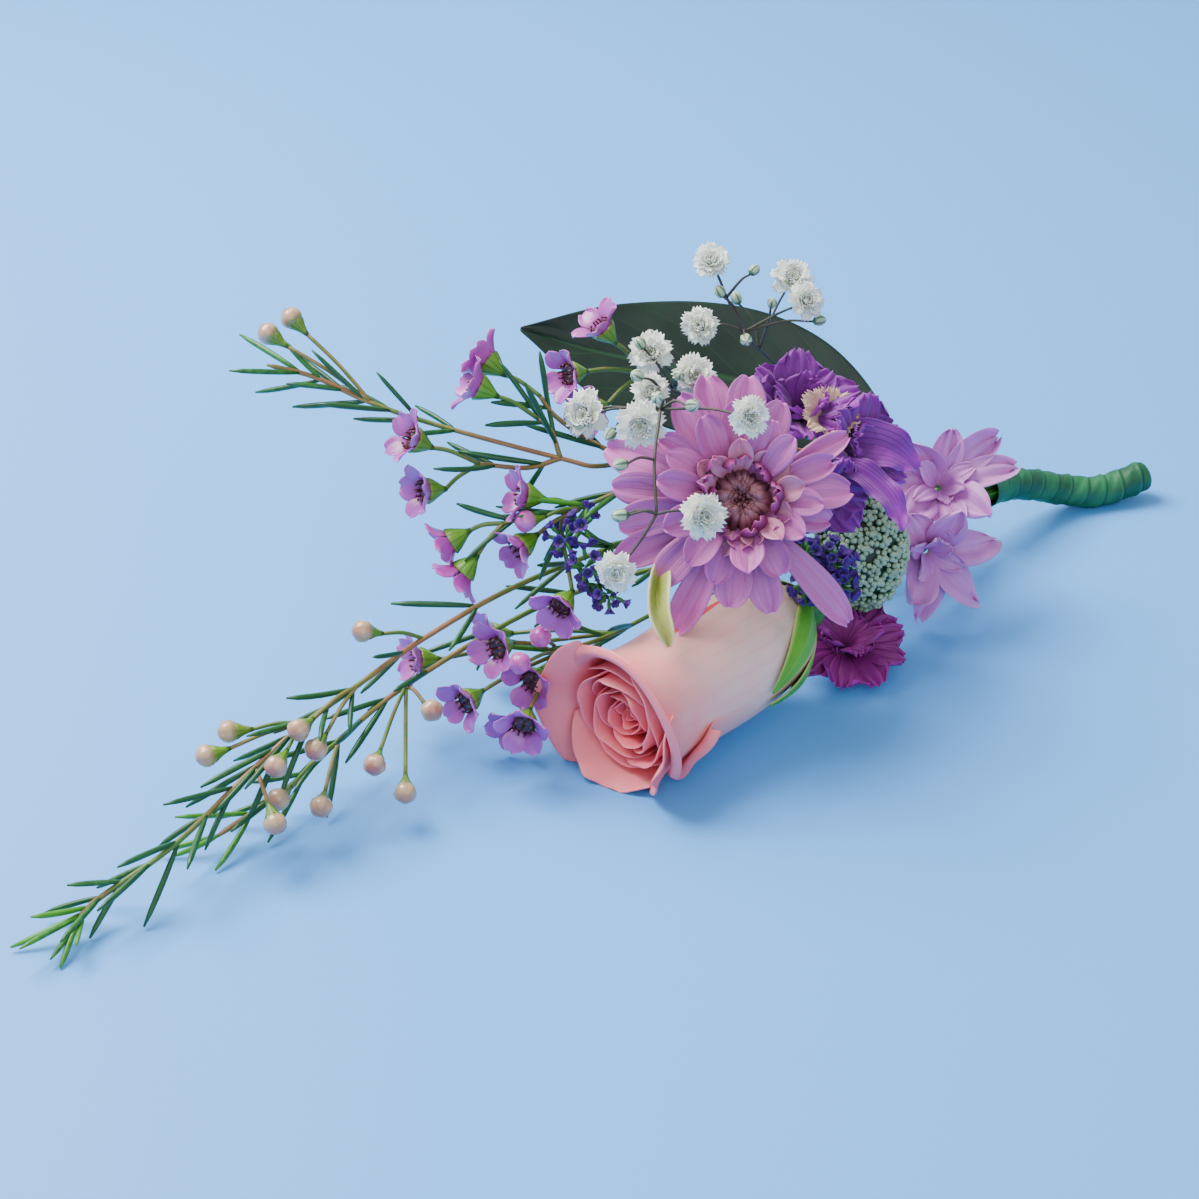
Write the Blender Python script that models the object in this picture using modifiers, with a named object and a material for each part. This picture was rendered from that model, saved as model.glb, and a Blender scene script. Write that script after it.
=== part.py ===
"""A boutonniere laid on a table: mixed cut flowers on a short taped handle.

Lengths are millimetres until they reach Blender, which gets metres. +X runs along the
bunch towards the cut ends of the stems, +Z is up and the table is the plane z = 0.
The bunch is drawn about its own working point and then moved by BUNCH_MIDDLE, so that
the origin is the middle of its footprint on the table.
"""

import math

import bmesh
import bpy
from mathutils import Matrix, Vector

MM = 0.001
BUNCH_MIDDLE = Vector((-9.8, 5.4, 0.0))

# The taped handle: the middle of its mouth, then on to the cut end.
TAPE_ROUTE = [(98, -4, 15), (105, -2.8, 13.6), (112, -2, 11.6), (120, -2.4, 8.6), (127, -3.6, 5.8),
              (133, -6, 4.2), (139, -8.2, 4.0), (144, -9.8, 5.0), (149, -11, 6.0)]
TAPE_RADIUS = 3.9
TAPE_WALL = 0.45
MOUTH_FLARE = 0.7
LANE_PITCH = 1.26
LANE_RADIUS = 0.47
ROW_STEP = math.sqrt(3) / 2
FAN_PLACE = Vector((87, -3.6, 17.4))
FAN_SPREAD = 2.0
# A stem is thin at SWELL_END and nearer the cut, and full SWELL_LENGTH further along -X.
SWELL_END = 92
SWELL_LENGTH = 25

# The rose lies on its side with its mouth towards -X.
ROSE_HIP = Vector((18, -26, 20))
ROSE_MOUTH = Vector((-41, -32, 15.6))
ROSE_PETALS = 5
PETAL_WALL = 0.5

# The chrysanthemum faces up and away from the handle.
MUM_MIDDLE = Vector((-5, -32, 58))
MUM_FACING = Vector((-0.50, -0.66, 0.56))

# Radii of the small round heads, and how the needle leaves stand.
GYPSOPHILA_BLOOM = 4.6
GYPSOPHILA_BUD = 1.3
WAXFLOWER_BUD = 2.2
NEEDLE_LEAN = math.radians(38)
LOWEST_TIP = 0.9

# The stalk of a single flower stops this far behind it.
HEAD_GAP = 0.9

# Edges sharper than this stay sharp, and points closer than these are one point.
SHARP_ANGLE = math.radians(50)
MERGE_METRES = 1e-6
MERGE_MM = 1e-4

parts = bpy.data.collections.new("boutonniere")
helpers = bpy.data.collections.new("boutonniere_helpers")


def clear_scene():
    for thing in list(bpy.data.objects):
        bpy.data.objects.remove(thing, do_unlink=True)
    for group in (parts, helpers):
        bpy.context.scene.collection.children.link(group)


def finish(name, colour, roughness):
    """A plain plant surface of one colour."""
    material = bpy.data.materials.new(name)
    material.use_nodes = True
    shader = material.node_tree.nodes["Principled BSDF"]
    shader.inputs["Base Color"].default_value = (*colour, 1)
    shader.inputs["Roughness"].default_value = roughness
    return material


# ---------------------------------------------------------------- shapes


def smooth_route(points, steps=3):
    """Points along one smooth curve through the given ones."""
    ends = [Vector(p) for p in points]
    ends = [2 * ends[0] - ends[1]] + ends + [2 * ends[-1] - ends[-2]]
    route = []
    for before, start, stop, after in zip(ends, ends[1:], ends[2:], ends[3:]):
        for step in range(steps):
            t = step / steps
            route.append(0.5 * (2 * start + (stop - before) * t
                                + (2 * before - 5 * start + 4 * stop - after) * t ** 2
                                + (3 * start - before - 3 * stop + after) * t ** 3))
    return route + [ends[-2]]


def taper(count, first, last):
    return [first + (last - first) * i / (count - 1) for i in range(count)]


def tube_mesh(name, strands, sides):
    """One mesh of several round strands, each a list of points and a list of radii."""
    curve = bpy.data.curves.new(name, "CURVE")
    curve.dimensions = "3D"
    curve.bevel_depth = 1.0
    curve.bevel_resolution = (sides - 4) // 2
    curve.use_fill_caps = True
    for points, radii in strands:
        spline = curve.splines.new("POLY")
        spline.points.add(len(points) - 1)
        for knot, point, radius in zip(spline.points, points, radii):
            knot.co = (*((Vector(point) - BUNCH_MIDDLE) * MM), 1)
            knot.radius = radius * MM
    guide = bpy.data.objects.new(name + "_guide", curve)
    helpers.objects.link(guide)
    graph = bpy.context.evaluated_depsgraph_get()
    mesh = bpy.data.meshes.new_from_object(guide.evaluated_get(graph))
    bpy.data.objects.remove(guide)
    bm = bmesh.new()
    bm.from_mesh(mesh)
    bmesh.ops.remove_doubles(bm, verts=bm.verts, dist=MERGE_METRES)
    bmesh.ops.recalc_face_normals(bm, faces=bm.faces)
    bm.to_mesh(mesh)
    bm.free()
    return mesh


def show(name, mesh, material):
    thing = bpy.data.objects.new(name, mesh)
    parts.objects.link(thing)
    mesh.materials.clear()
    mesh.materials.append(material)
    mesh.shade_smooth()
    mesh.set_sharp_from_angle(angle=SHARP_ANGLE)
    return thing


def join(thing, mesh):
    """Unite a body with a second mesh, whose own strands may cross each other."""
    tool = bpy.data.objects.new(f"{thing.name}_joined_{len(thing.modifiers)}", mesh)
    helpers.objects.link(tool)
    tool.hide_render = True
    tool.display_type = "WIRE"
    union = thing.modifiers.new("join", "BOOLEAN")
    union.operation = "UNION"
    union.solver = "EXACT"
    union.use_self = True
    union.object = tool


def grown(name, material, stem, twigs=(), heads=(), twig_sides=4, head_sides=8, stem_sides=6):
    """One grown piece: a stem, the thin twigs on it and the fat heads on those."""
    thing = show(name, tube_mesh(name, [stem], stem_sides), material)
    if twigs:
        join(thing, tube_mesh(name + "_twigs", twigs, twig_sides))
    if heads:
        join(thing, tube_mesh(name + "_heads", heads, head_sides))
    return thing


def pose(place, facing, roll=0.0):
    """The frame whose +Z looks along `facing`, with its origin at `place`."""
    turn = Vector(facing).to_track_quat("Z", "Y").to_matrix().to_4x4()
    return Matrix.Translation(Vector(place)) @ turn @ Matrix.Rotation(roll, 4, "Z")


def shell(name, bm, frame, wall, material):
    """Give an open surface, drawn in its own frame, a place and a thickness."""
    bmesh.ops.remove_doubles(bm, verts=bm.verts, dist=MERGE_MM)
    bmesh.ops.recalc_face_normals(bm, faces=bm.faces)
    for vertex in bm.verts:
        vertex.co = (frame @ vertex.co - BUNCH_MIDDLE) * MM
    mesh = bpy.data.meshes.new(name)
    bm.to_mesh(mesh)
    bm.free()
    thing = show(name, mesh, material)
    solidify = thing.modifiers.new("wall", "SOLIDIFY")
    solidify.thickness = wall * MM
    solidify.offset = 0
    return thing


def grid_cells(bm, across, along):
    """A flat grid and, for each of its vertices, how far across (-1 to 1) and along (0 to 1)."""
    made = bmesh.ops.create_grid(bm, x_segments=across, y_segments=along, size=0.5)["verts"]
    return [(vertex, 2 * vertex.co.x, vertex.co.y + 0.5) for vertex in made]


def between(rows, along):
    """The values of a list of rows at a point from 0 to 1 along it."""
    place = along * (len(rows) - 1)
    low = min(int(place), len(rows) - 2)
    return [a + (b - a) * (place - low) for a, b in zip(rows[low], rows[low + 1])]


def corolla(name, frame, petals, rows, wall, material, cup=0.0):
    """Petals joined round a ring. Each row is a radius, a height and a share of the sector."""
    bm = bmesh.new()
    for petal in range(petals):
        for vertex, across, along in grid_cells(bm, 2, len(rows) - 1):
            radius, height, share = between(rows, along)
            angle = math.pi * (2 * petal + across * share) / petals
            height += cup * across ** 2 * along
            vertex.co = (radius * math.cos(angle), radius * math.sin(angle), height)
    return shell(name, bm, frame, wall, material)


def blade(name, spine, half_widths, facing, wall, material, fold=0.0):
    """A leaf or narrow petal along a spine, with its upper face towards `facing`."""
    points = [Vector(p) for p in spine]
    bm = bmesh.new()
    for vertex, across, along in grid_cells(bm, 2, len(points) - 1):
        row = round(along * (len(points) - 1))
        heading = points[min(row + 1, len(points) - 1)] - points[max(row - 1, 0)]
        side = heading.cross(Vector(facing)).normalized()
        lift = side.cross(heading).normalized() * fold * abs(across) * half_widths[row]
        vertex.co = points[row] + side * across * half_widths[row] + lift
    return shell(name, bm, Matrix.Identity(4), wall, material)


# ---------------------------------------------------------------- handle


def lane(across, row):
    """A stem's place in the close-packed bundle: half pitches across and rows up."""
    return Vector((0, across * LANE_PITCH / 2, row * LANE_PITCH * ROW_STEP))


def stem_route(across, row, *onward):
    """From the cut end, through the tape in its own lane, then on to the flower."""
    place = lane(across, row)
    inside = [Vector(point) + place for point in reversed(TAPE_ROUTE[:-1])]
    fanned = FAN_PLACE + FAN_SPREAD * place
    return inside + smooth_route([fanned, *onward], steps=2)


def stem(across, row, onward, thick, tip=None):
    """A stem that is thin in the tape and swells to its real thickness outside it."""
    route = stem_route(across, row, *onward)
    radii = []
    for point in route:
        out = min(max((SWELL_END - point.x) / SWELL_LENGTH, 0), 1)
        radii.append(LANE_RADIUS + (thick - LANE_RADIUS) * out)
    if tip is not None:
        radii[-1] = tip
    return route, radii


def make_tape(material):
    route = [Vector(point) for point in TAPE_ROUTE]
    radii = [TAPE_RADIUS + MOUTH_FLARE] + [TAPE_RADIUS] * (len(route) - 1)
    heading = (route[-1] - route[-2]).normalized()
    route += [route[-1] + heading * 1.2, route[-1] + heading * 2.0]
    radii += [0.72 * TAPE_RADIUS, 0.01]
    mesh = tube_mesh("tape_wrap", [(route, radii)], 12)
    bm = bmesh.new()
    bm.from_mesh(mesh)
    mouth = (route[0] - BUNCH_MIDDLE) * MM
    inward = (route[1] - route[0]).normalized()
    caps = [f for f in bm.faces if (f.calc_center_median() - mouth).dot(inward) < 0.1 * MM]
    bmesh.ops.delete(bm, geom=caps, context="FACES")
    bm.to_mesh(mesh)
    bm.free()
    tape = show("tape_wrap", mesh, material)
    wall = tape.modifiers.new("wall", "SOLIDIFY")
    wall.thickness = TAPE_WALL * MM
    wall.offset = -1


# ---------------------------------------------------------------- rose


def make_rose(green, pink, cream):
    axis = (ROSE_MOUTH - ROSE_HIP).normalized()
    frame = pose(ROSE_HIP, axis)
    route, radii = stem(-1, -1, [(62, -9, 13.6), (44, -15.5, 13), (34, -22, 16), ROSE_HIP - axis * 10], 1.3)
    for reach, radius in ((6, 2.6), (3.2, 4.9), (0.6, 5.2)):
        route.append(ROSE_HIP - axis * reach)
        radii.append(radius)
    grown("rose_stem", green, (route, radii), stem_sides=10)

    outer = [(0.8, 3.9), (5, 8.5), (13, 12.0), (26, 13.4), (42, 13.0), (52, 13.4), (57, 13.9)]
    inner = [(1.2, 1.9), (6, 5.6), (14, 8.8), (26, 10.2), (40, 9.9), (49, 9.0), (54, 8.4)]
    for petal in range(ROSE_PETALS):
        turn = 2 * math.pi * petal / ROSE_PETALS
        rose_petal(f"rose_outer_petal_{petal + 1}", frame, turn, outer, 1.2, pink)
        rose_petal(f"rose_inner_petal_{petal + 1}", frame, turn + 0.6, inner, 0.9, pink)

    heart = [(2.2, 0.8), (6, 3.0), (14, 6.2), (26, 8.2), (40, 7.8), (48, 5.6), (53, 2.0)]
    points = [ROSE_HIP + axis * reach for reach, _ in heart]
    grown("rose_heart", pink, (points, [radius for _, radius in heart]), stem_sides=12)

    sepal = [(-0.6, 5.9, 2.0), (4, 9.6, 3.6), (9, 13.0, 3.4), (16, 15.3, 2.2), (23, 15.8, 0.4)]
    for turn, number in ((0.2, 1), (1.5, 2), (2.7, 3), (3.9, 4), (5.2, 5)):
        out = Vector((math.cos(turn), math.sin(turn), 0))
        spine = [frame @ (out * radius + Vector((0, 0, reach))) for reach, radius, _ in sepal]
        widths = [width for _, _, width in sepal]
        blade(f"rose_sepal_{number}", spine, widths, frame.to_3x3() @ out, 0.45, green)

    guard = [(0, -22, 40), (-8, -27, 36), (-17, -29, 34.5), (-26, -31, 32.5), (-30, -32.5, 31.5)]
    blade("rose_guard_petal", guard, (1.0, 2.2, 2.6, 2.2, 0.6), (-0.2, -0.5, 1), 0.5, cream)


def rose_petal(name, frame, turn, rows, spiral, material):
    """A cupped petal with one edge tucked in and the other standing out over its neighbour."""
    bm = bmesh.new()
    for vertex, across, along in grid_cells(bm, 6, len(rows) - 1):
        reach, radius = between(rows, along)
        open_up = min(along * 3, 1)
        angle = turn + math.radians(25 + 33 * open_up) * across
        radius += spiral * across * min(along * 6, 1)
        reach -= 5 * across ** 4 * along ** 3
        vertex.co = (radius * math.cos(angle), radius * math.sin(angle), reach)
    shell(name, bm, frame, PETAL_WALL, material)


# ---------------------------------------------------------------- chrysanthemum


def make_mum(green, lilac, dark):
    frame = pose(MUM_MIDDLE, MUM_FACING)
    facing = MUM_FACING.normalized()
    route, radii = stem(-1, 1, [(68, -6, 24), (40, -9, 35), (17, -13, 43)], 1.3)
    for reach, radius in ((14, 1.6), (10, 3.0), (8, 5.6), (7.1, 5.2)):
        route.append(MUM_MIDDLE - facing * reach)
        radii.append(radius)
    grown("mum_stem", green, (route, radii), stem_sides=8)

    outer = [(3.2, -6.2, 1.0), (5.5, -5.7, 1.0), (9, -5.0, 0.72), (17, -3.6, 0.84), (27.5, -1.4, 0.4)]
    middle = [(3.0, -4.8, 1.0), (5, -4.0, 1.0), (8, -2.6, 0.75), (15, 0.0, 0.84), (23, 2.8, 0.4)]
    inner = [(2.8, -3.4, 1.0), (4.4, -2.2, 1.0), (7, -0.2, 0.8), (11, 3.0, 0.85), (16, 7.2, 0.4)]
    corolla("mum_outer_rays", frame, 13, outer, 0.5, lilac)
    corolla("mum_middle_rays", frame, 12, middle, 0.5, lilac)
    corolla("mum_inner_rays", frame, 10, inner, 0.5, lilac)
    disc = [(-2.2, 2.0), (0, 4.6), (3, 6.8), (6, 7.4), (9, 5.4), (10.5, 1.5)]
    points = [MUM_MIDDLE + facing * reach for reach, _ in disc]
    grown("mum_disc", dark, (points, [radius for _, radius in disc]), stem_sides=12)


# ---------------------------------------------------------------- purple, lilac and violet


def make_statice(green, purple):
    rows = [(1.0, 0, 1.0), (3.2, 4, 1.0), (7.5, 7.6, 0.95), (11.5, 9.2, 0.7)]
    small = [(0.9, 0, 1.0), (2.6, 3.4, 1.0), (5.5, 6.2, 0.9), (7.6, 7.0, 0.6)]
    heads = [((32, -4, 56.5), (-0.35, -0.45, 0.82), rows), ((37, -17, 49.5), (0.15, -0.85, 0.5), small),
             ((28, -19, 45.5), (-0.35, -0.9, 0.05), small)]
    fork = Vector((40, -6, 48))
    route, radii = stem(-2, 2, [(68, -4, 29), fork], 1.1)
    twigs = []
    for number, (place, facing, shape) in enumerate(heads, 1):
        back = Vector(place) - Vector(facing).normalized() * HEAD_GAP
        bend = fork.lerp(back, 0.6) - Vector(facing) * 2
        twigs.append((smooth_route([fork, bend, back]), taper(7, 0.9, 0.7)))
        corolla(f"statice_flower_{number}", pose(place, facing), 5, shape, 0.4, purple, cup=1.0)
    grown("statice_stem", green, (route, radii), twigs, twig_sides=6)


def make_larkspur(green, lilac):
    rows = [(1.0, 0, 1.0), (2.8, 2.2, 1.0), (8, 6.0, 0.95), (12, 7.6, 0.5)]
    heads = [((84, -12, 25), (-0.35, -0.65, 0.67)), ((69, -17, 15), (-0.45, -0.85, 0.05))]
    fork = Vector((86, -8.5, 17))
    route, radii = stem(-4, 0, [fork], 1.0)
    twigs = []
    for number, (place, facing) in enumerate(heads, 1):
        back = Vector(place) - Vector(facing).normalized() * HEAD_GAP
        twigs.append((smooth_route([fork, fork.lerp(back, 0.6), back]), taper(7, 0.9, 0.7)))
        corolla(f"larkspur_flower_{number}", pose(place, facing), 5, rows, 0.4, lilac, cup=1.5)
    grown("larkspur_stem", green, (route, radii), twigs, twig_sides=6)


def make_umbel(green, buds):
    middle = Vector((43, -17, 28.5))
    facing = Vector((-0.25, -0.85, 0.45)).normalized()
    dome = [(-4.6, 2.5), (-2.5, 8.4), (1, 12.6), (5, 12.4), (9, 10), (12, 5.6), (13, 1.5)]
    points = [middle + facing * reach for reach, _ in dome]
    grown("umbel_head", buds, (points, [radius for _, radius in dome]), stem_sides=12)
    onward = [(72, -7, 17), (58, -10, 21), middle - facing * 8, middle - facing * 5.2]
    grown("umbel_stem", green, stem(-3, -1, onward, 1.1))


def make_violet(violet):
    sides = {
        "left": (stem(1, -1, [(66, -2, 19), (40, -5, 25), (5, -7, 37), (-20, -7, 41)], 0.8),
                 [(-34, -9, 48), (-30, -10, 50), (-33, -15, 44), (-31, -20, 39), (-26, -3, 45), (-29, -14, 38)]),
        "right": (stem(-2, 0, [(66, -3, 21), (46, -2, 26), (29, -9, 31), (22, -23, 35)], 0.8),
                  [(13, -35, 33), (17, -34, 31), (15, -31, 37), (21, -35, 30), (20, -33, 36), (22, -33, 33)]),
    }
    for side, (main, tips) in sides.items():
        root = Vector(main[0][-1])
        twigs, heads = [], []
        for tip in map(Vector, tips):
            heading = (tip - root).normalized()
            twigs.append(([root, tip], [0.6, 0.45]))
            heads.append(([tip - heading * 1.6, tip, tip + heading * 2.0], [0.7, 1.7, 1.3]))
        grown(f"violet_sprig_{side}", violet, main, twigs, heads, head_sides=6)


def make_magenta(green, magenta):
    place, facing = Vector((37, -28.5, 2.3)), Vector((-0.1, -0.3, 0.95)).normalized()
    rows = [(1.2, 0, 1.0), (5, 2.4, 1.0), (9, 4.0, 0.95), (12.5, 4.4, 0.7)]
    corolla("magenta_flower", pose(place, facing), 6, rows, 0.5, magenta, cup=0.8)
    onward = [(76, -3, 9), (56, -5, 5), (45, -13, 2.4), (39, -24, 1.3), place - facing * 1.3]
    grown("magenta_stem", green, stem(-2, -2, onward, 0.9))


def make_leaf(material):
    spine = [(76, 4, 27), (70, 12, 33), (60, 26, 41), (43, 39, 47), (23, 52, 53), (7, 62, 60)]
    petiole = stem(4, 0, [(82, 2.5, 21), (76.5, 3.6, 26.4), (73.5, 7, 29.4)], 1.0)
    leaf = blade("green_leaf", spine, (0.8, 9, 16, 17, 11, 0.5), (-0.45, -0.55, 0.7), 0.6, material, 0.12)
    join(leaf, tube_mesh("green_leaf_stalk", [petiole], 6))


# ---------------------------------------------------------------- gypsophila and waxflower


def round_head(root, tip, size):
    """A small double flower or a bud at the end of a twig."""
    heading = (tip - root).normalized()
    points = [tip + heading * size * reach for reach in (-0.8, -0.3, 0.5, 0.95)]
    return points, [size * share for share in (0.35, 0.95, 0.95, 0.35)]


def make_gypsophila(name, main, flowers, buds, material):
    """`flowers` and `buds` are lists of a fork point and a tip."""
    twigs, heads = [], []
    for size, pairs in ((GYPSOPHILA_BLOOM, flowers), (GYPSOPHILA_BUD, buds)):
        for fork, tip in pairs:
            fork, tip = Vector(fork), Vector(tip)
            twigs.append(([fork, tip], [0.42, 0.38]))
            heads.append(round_head(fork, tip, size))
    grown(name, material, main, twigs, heads, head_sides=6, stem_sides=4)


def waxflower(fork, base, tip):
    """The stalk, then the cone and open cup of one waxflower."""
    fork, base, tip = Vector(fork), Vector(base), Vector(tip)
    heading = (tip - base).normalized()
    cup = [base + heading * reach for reach in (-0.4, 1.6, 3.2, 5.0, 5.8)]
    return ([fork, base], [0.5, 0.55]), (cup, [0.6, 1.5, 2.3, 5.2, 5.4])


def needle_pairs(route, first, last, count, reach, phase=0.0):
    """Needle leaves in crossed pairs along a stretch of stem, leaning towards its tip."""
    needles = []
    for number in range(count):
        place = first + (last - first) * number / max(count - 1, 1)
        index = place * (len(route) - 1)
        low = min(int(index), len(route) - 2)
        root = route[low].lerp(route[low + 1], index - low)
        heading = (route[low + 1] - route[low]).normalized()
        side = heading.cross(Vector((0, 0, 1))).normalized()
        side.rotate(Matrix.Rotation(phase + number * math.pi / 2, 3, heading))
        for out in (side, -side):
            lean = heading * math.cos(NEEDLE_LEAN) + out * math.sin(NEEDLE_LEAN)
            tip = root + lean * reach
            tip.z = max(tip.z, LOWEST_TIP)
            needles.append(([root, root.lerp(tip, 0.5), tip], [0.5, 0.6, 0.3]))
    return needles


def make_waxflower(name, main, material, needles=(), flowers=(), twigs=(), buds=()):
    """`needles` are stretches of the stem, `flowers` a fork, base and tip, `buds` a fork and tip."""
    thin, heads = [], []
    for stretch in needles:
        thin += needle_pairs(main[0], *stretch)
    for route, radius in twigs:
        thin.append((smooth_route(route, 2), [radius] * (2 * len(route) - 1)))
    for flower in flowers:
        stalk, cup = waxflower(*flower)
        thin.append(stalk)
        heads.append(cup)
    for fork, tip in buds:
        fork, tip = Vector(fork), Vector(tip)
        thin.append(([fork, tip], [0.45, 0.45]))
        heads.append(round_head(fork, tip, WAXFLOWER_BUD))
    grown(name, material, main, thin, heads, head_sides=6)


def make_gypsophila_sprigs(white):
    main = stem(0, 2, [(66, -3, 33), (40, 0, 50), (14, -1, 62), (1, -5, 70), (-8, -8, 75.5), (-15, -17, 76),
                       (-23, -25, 70), (-28, -32, 62)], 0.5, 0.45)
    make_gypsophila("gypsophila_front", main,
                    [((-28, -32, 62), (-23, -40, 63)), ((-28, -32, 62), (-39, -33, 53)),
                     ((-8, -8, 75.5), (-20, -12, 76)), ((1, -5, 70), (3, -24, 87))],
                    [((-15, -17, 76), (-14, -26, 80)), ((-28, -32, 62), (-30, -22, 58))], white)
    main = stem(2, 2, [(66, -2, 34), (47, 8, 54), (35, 9, 66), (27, 5, 74), (24, 8, 82)], 0.5, 0.45)
    make_gypsophila("gypsophila_top", main,
                    [((24, 8, 82), (23, 12, 89)), ((27, 5, 74), (39, -1, 80)), ((35, 9, 66), (43, 8, 81)),
                     ((27, 5, 74), (17, 8, 77))],
                    [((24, 8, 82), (31, 7, 87)), ((35, 9, 66), (33, 15, 77))], white)
    main = stem(1, 1, [(66, 2, 32), (40, 8, 50), (14, 7, 62), (4, 2, 68), (-10, -2, 69)], 0.5, 0.45)
    make_gypsophila("gypsophila_side", main,
                    [((4, 2, 68), (6, -3, 76)), ((14, 7, 62), (5, 9, 76)), ((-10, -2, 69), (-17, 3, 70)),
                     ((-10, -2, 69), (-13, -2, 78))],
                    [((14, 7, 62), (11, 18, 73)), ((-10, -2, 69), (-18, -4, 66))], white)


def make_waxflower_sprays(green):
    main = stem(2, 0, [(66, -1, 22), (40, 2, 28), (0, 3, 33), (-37, 3, 33), (-62, 4, 28), (-81, 1, 25),
                       (-96, -2, 23), (-109, -3, 18), (-132, -9, 12), (-149, -8, 6), (-163, -12, 2)], 0.9, 0.4)
    make_waxflower("waxflower_long", main, green, needles=[(0.62, 0.97, 11, 16, 0.4)],
                   buds=[((-96, -2, 23), (-116, 4, 20)), ((-96, -2, 23), (-110, 5, 23)),
                         ((-81, 1, 25), (-98, -9, 21)), ((-62, 4, 28), (-76, 6, 34)),
                         ((-109, -3, 18), (-112, -15, 12))])
    main = stem(2, -2, [(66, 0, 15), (40, 5, 18), (0, 9, 20), (-30, 9, 21), (-65, 7, 16), (-85, 3, 12),
                        (-99, 0, 8), (-126, -2, 2.5)], 0.9, 0.4)
    make_waxflower("waxflower_second", main, green, needles=[(0.7, 0.95, 5, 13, 0.8)],
                   buds=[((-65, 7, 16), (-86, -12, 14)), ((-65, 7, 16), (-82, -17, 8)),
                         ((-65, 7, 16), (-70, -10, 20)), ((-85, 3, 12), (-100, -13, 10))])
    main = stem(3, 1, [(66, 3, 29), (40, 9, 40), (10, 6, 50), (-17, -1, 57), (-26, 3, 60), (-44, 21, 66),
                       (-55, 31, 71), (-62, 42, 75), (-70, 48, 78)], 0.8, 0.4)
    make_waxflower("waxflower_upper", main, green, needles=[(0.76, 0.98, 5, 17)],
                   flowers=[((-26, 10, 72), (-30, 17, 75.5), (-32, 21, 78)),
                            ((-28, 8, 68), (-35, 13, 73.5), (-40, 17, 77)),
                            ((-40, 13, 59), (-48, 19, 63), (-51, 20, 65)),
                            ((-40, 13, 59), (-47, 16, 54), (-53, 17, 55))],
                   twigs=[([(-10, -2, 56), (-16, 6, 60), (-23, 9, 67), (-26, 10, 72)], 0.5),
                          ([(-26, 3, 60), (-26, 6, 65), (-28, 8, 68)], 0.5),
                          ([(-26, 3, 60), (-32, 7, 58), (-40, 13, 59)], 0.5)],
                   buds=[((-55, 31, 71), (-68, 50, 84)), ((-55, 31, 71), (-62, 50, 86))])
    main = stem(0, 0, [(66, -2, 25), (40, -2, 33), (10, -6, 43), (-10, -8, 52), (-18, -8, 54), (-27, -5, 51.5)],
                0.8, 0.5)
    fork = main[0][-1]
    make_waxflower("waxflower_middle", main, green,
                   flowers=[(fork, (-33, -1, 54), (-39, 2, 56)), ((-42, 2, 50), (-48, 6, 48.5), (-53, 8, 46)),
                            (fork, (-36, -2, 47), (-41, -2, 45.5)), ((-31, -4, 45), (-36, -14, 38.5), (-41, -16, 37))],
                   twigs=[([fork, (-35, -1, 51), (-42, 2, 50)], 0.5), ([fork, (-30, -3, 49), (-31, -4, 45)], 0.5)],
                   buds=[(fork, (-40, -3, 52))])
    main = stem(0, -2, [(66, -1, 12), (40, 4, 11), (10, 3, 13), (-15, -2, 15), (-32, -4, 17)], 0.8, 0.5)
    fork = main[0][-1]
    make_waxflower("waxflower_low", main, green,
                   flowers=[(fork, (-40, -9, 18), (-45, -11, 18)), (fork, (-45, -5, 25), (-51, -6, 26)),
                            (fork, (-52, -3, 14.5), (-58, -4, 14)), (fork, (-44, -8, 9), (-49, -10, 7.5)),
                            ((-15, -2, 15), (-30, 16, 12), (-38, 18, 13))],
                   buds=[(fork, (-43, -12, 29))])
    main = stem(3, -1, [(66, 5, 25), (45, 12, 38), (20, 15, 56), (4, 12, 68)], 0.7, 0.5)
    fork = main[0][-1]
    make_waxflower("waxflower_back", main, green,
                   flowers=[(fork, (0, 17, 74.5), (-3, 19, 79)), (fork, (-7, 11, 64), (-12, 10, 64.5)),
                            (fork, (-8, 17, 70), (-14, 17, 71))])


def make_bunch():
    clear_scene()
    tape = finish("florist_tape", (0.02, 0.25, 0.09), 0.5)
    green = finish("stem_green", (0.13, 0.3, 0.08), 0.5)
    pink = finish("rose_pink", (0.85, 0.38, 0.38), 0.5)
    cream = finish("rose_cream", (0.75, 0.7, 0.45), 0.5)
    lilac = finish("mum_lilac", (0.62, 0.3, 0.6), 0.5)
    dark = finish("mum_disc", (0.3, 0.06, 0.15), 0.6)
    make_tape(tape)
    make_rose(green, pink, cream)
    make_mum(green, lilac, dark)
    make_statice(green, finish("statice_purple", (0.2, 0.04, 0.4), 0.6))
    make_larkspur(green, finish("larkspur_lilac", (0.62, 0.42, 0.72), 0.5))
    make_umbel(green, finish("umbel_grey_green", (0.3, 0.42, 0.3), 0.7))
    make_violet(finish("violet_blue", (0.1, 0.04, 0.4), 0.6))
    make_magenta(green, finish("magenta", (0.3, 0.02, 0.25), 0.5))
    make_leaf(finish("leaf_dark_green", (0.01, 0.06, 0.03), 0.35))
    make_gypsophila_sprigs(finish("gypsophila_white", (0.8, 0.83, 0.75), 0.6))
    make_waxflower_sprays(finish("waxflower_green", (0.1, 0.25, 0.06), 0.5))


make_bunch()
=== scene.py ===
"""The looks of the boutonniere: its petals, leaves, buds, needles, stems and tape.

Shapes are drawn in millimetres about the bunch's own working point, as in the construction,
and become metres in the shared frame when a piece is made. +X runs towards the cut ends.
"""

import collections
import math
import random

import bpy
import numpy as np
from mathutils import Matrix, Vector


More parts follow.
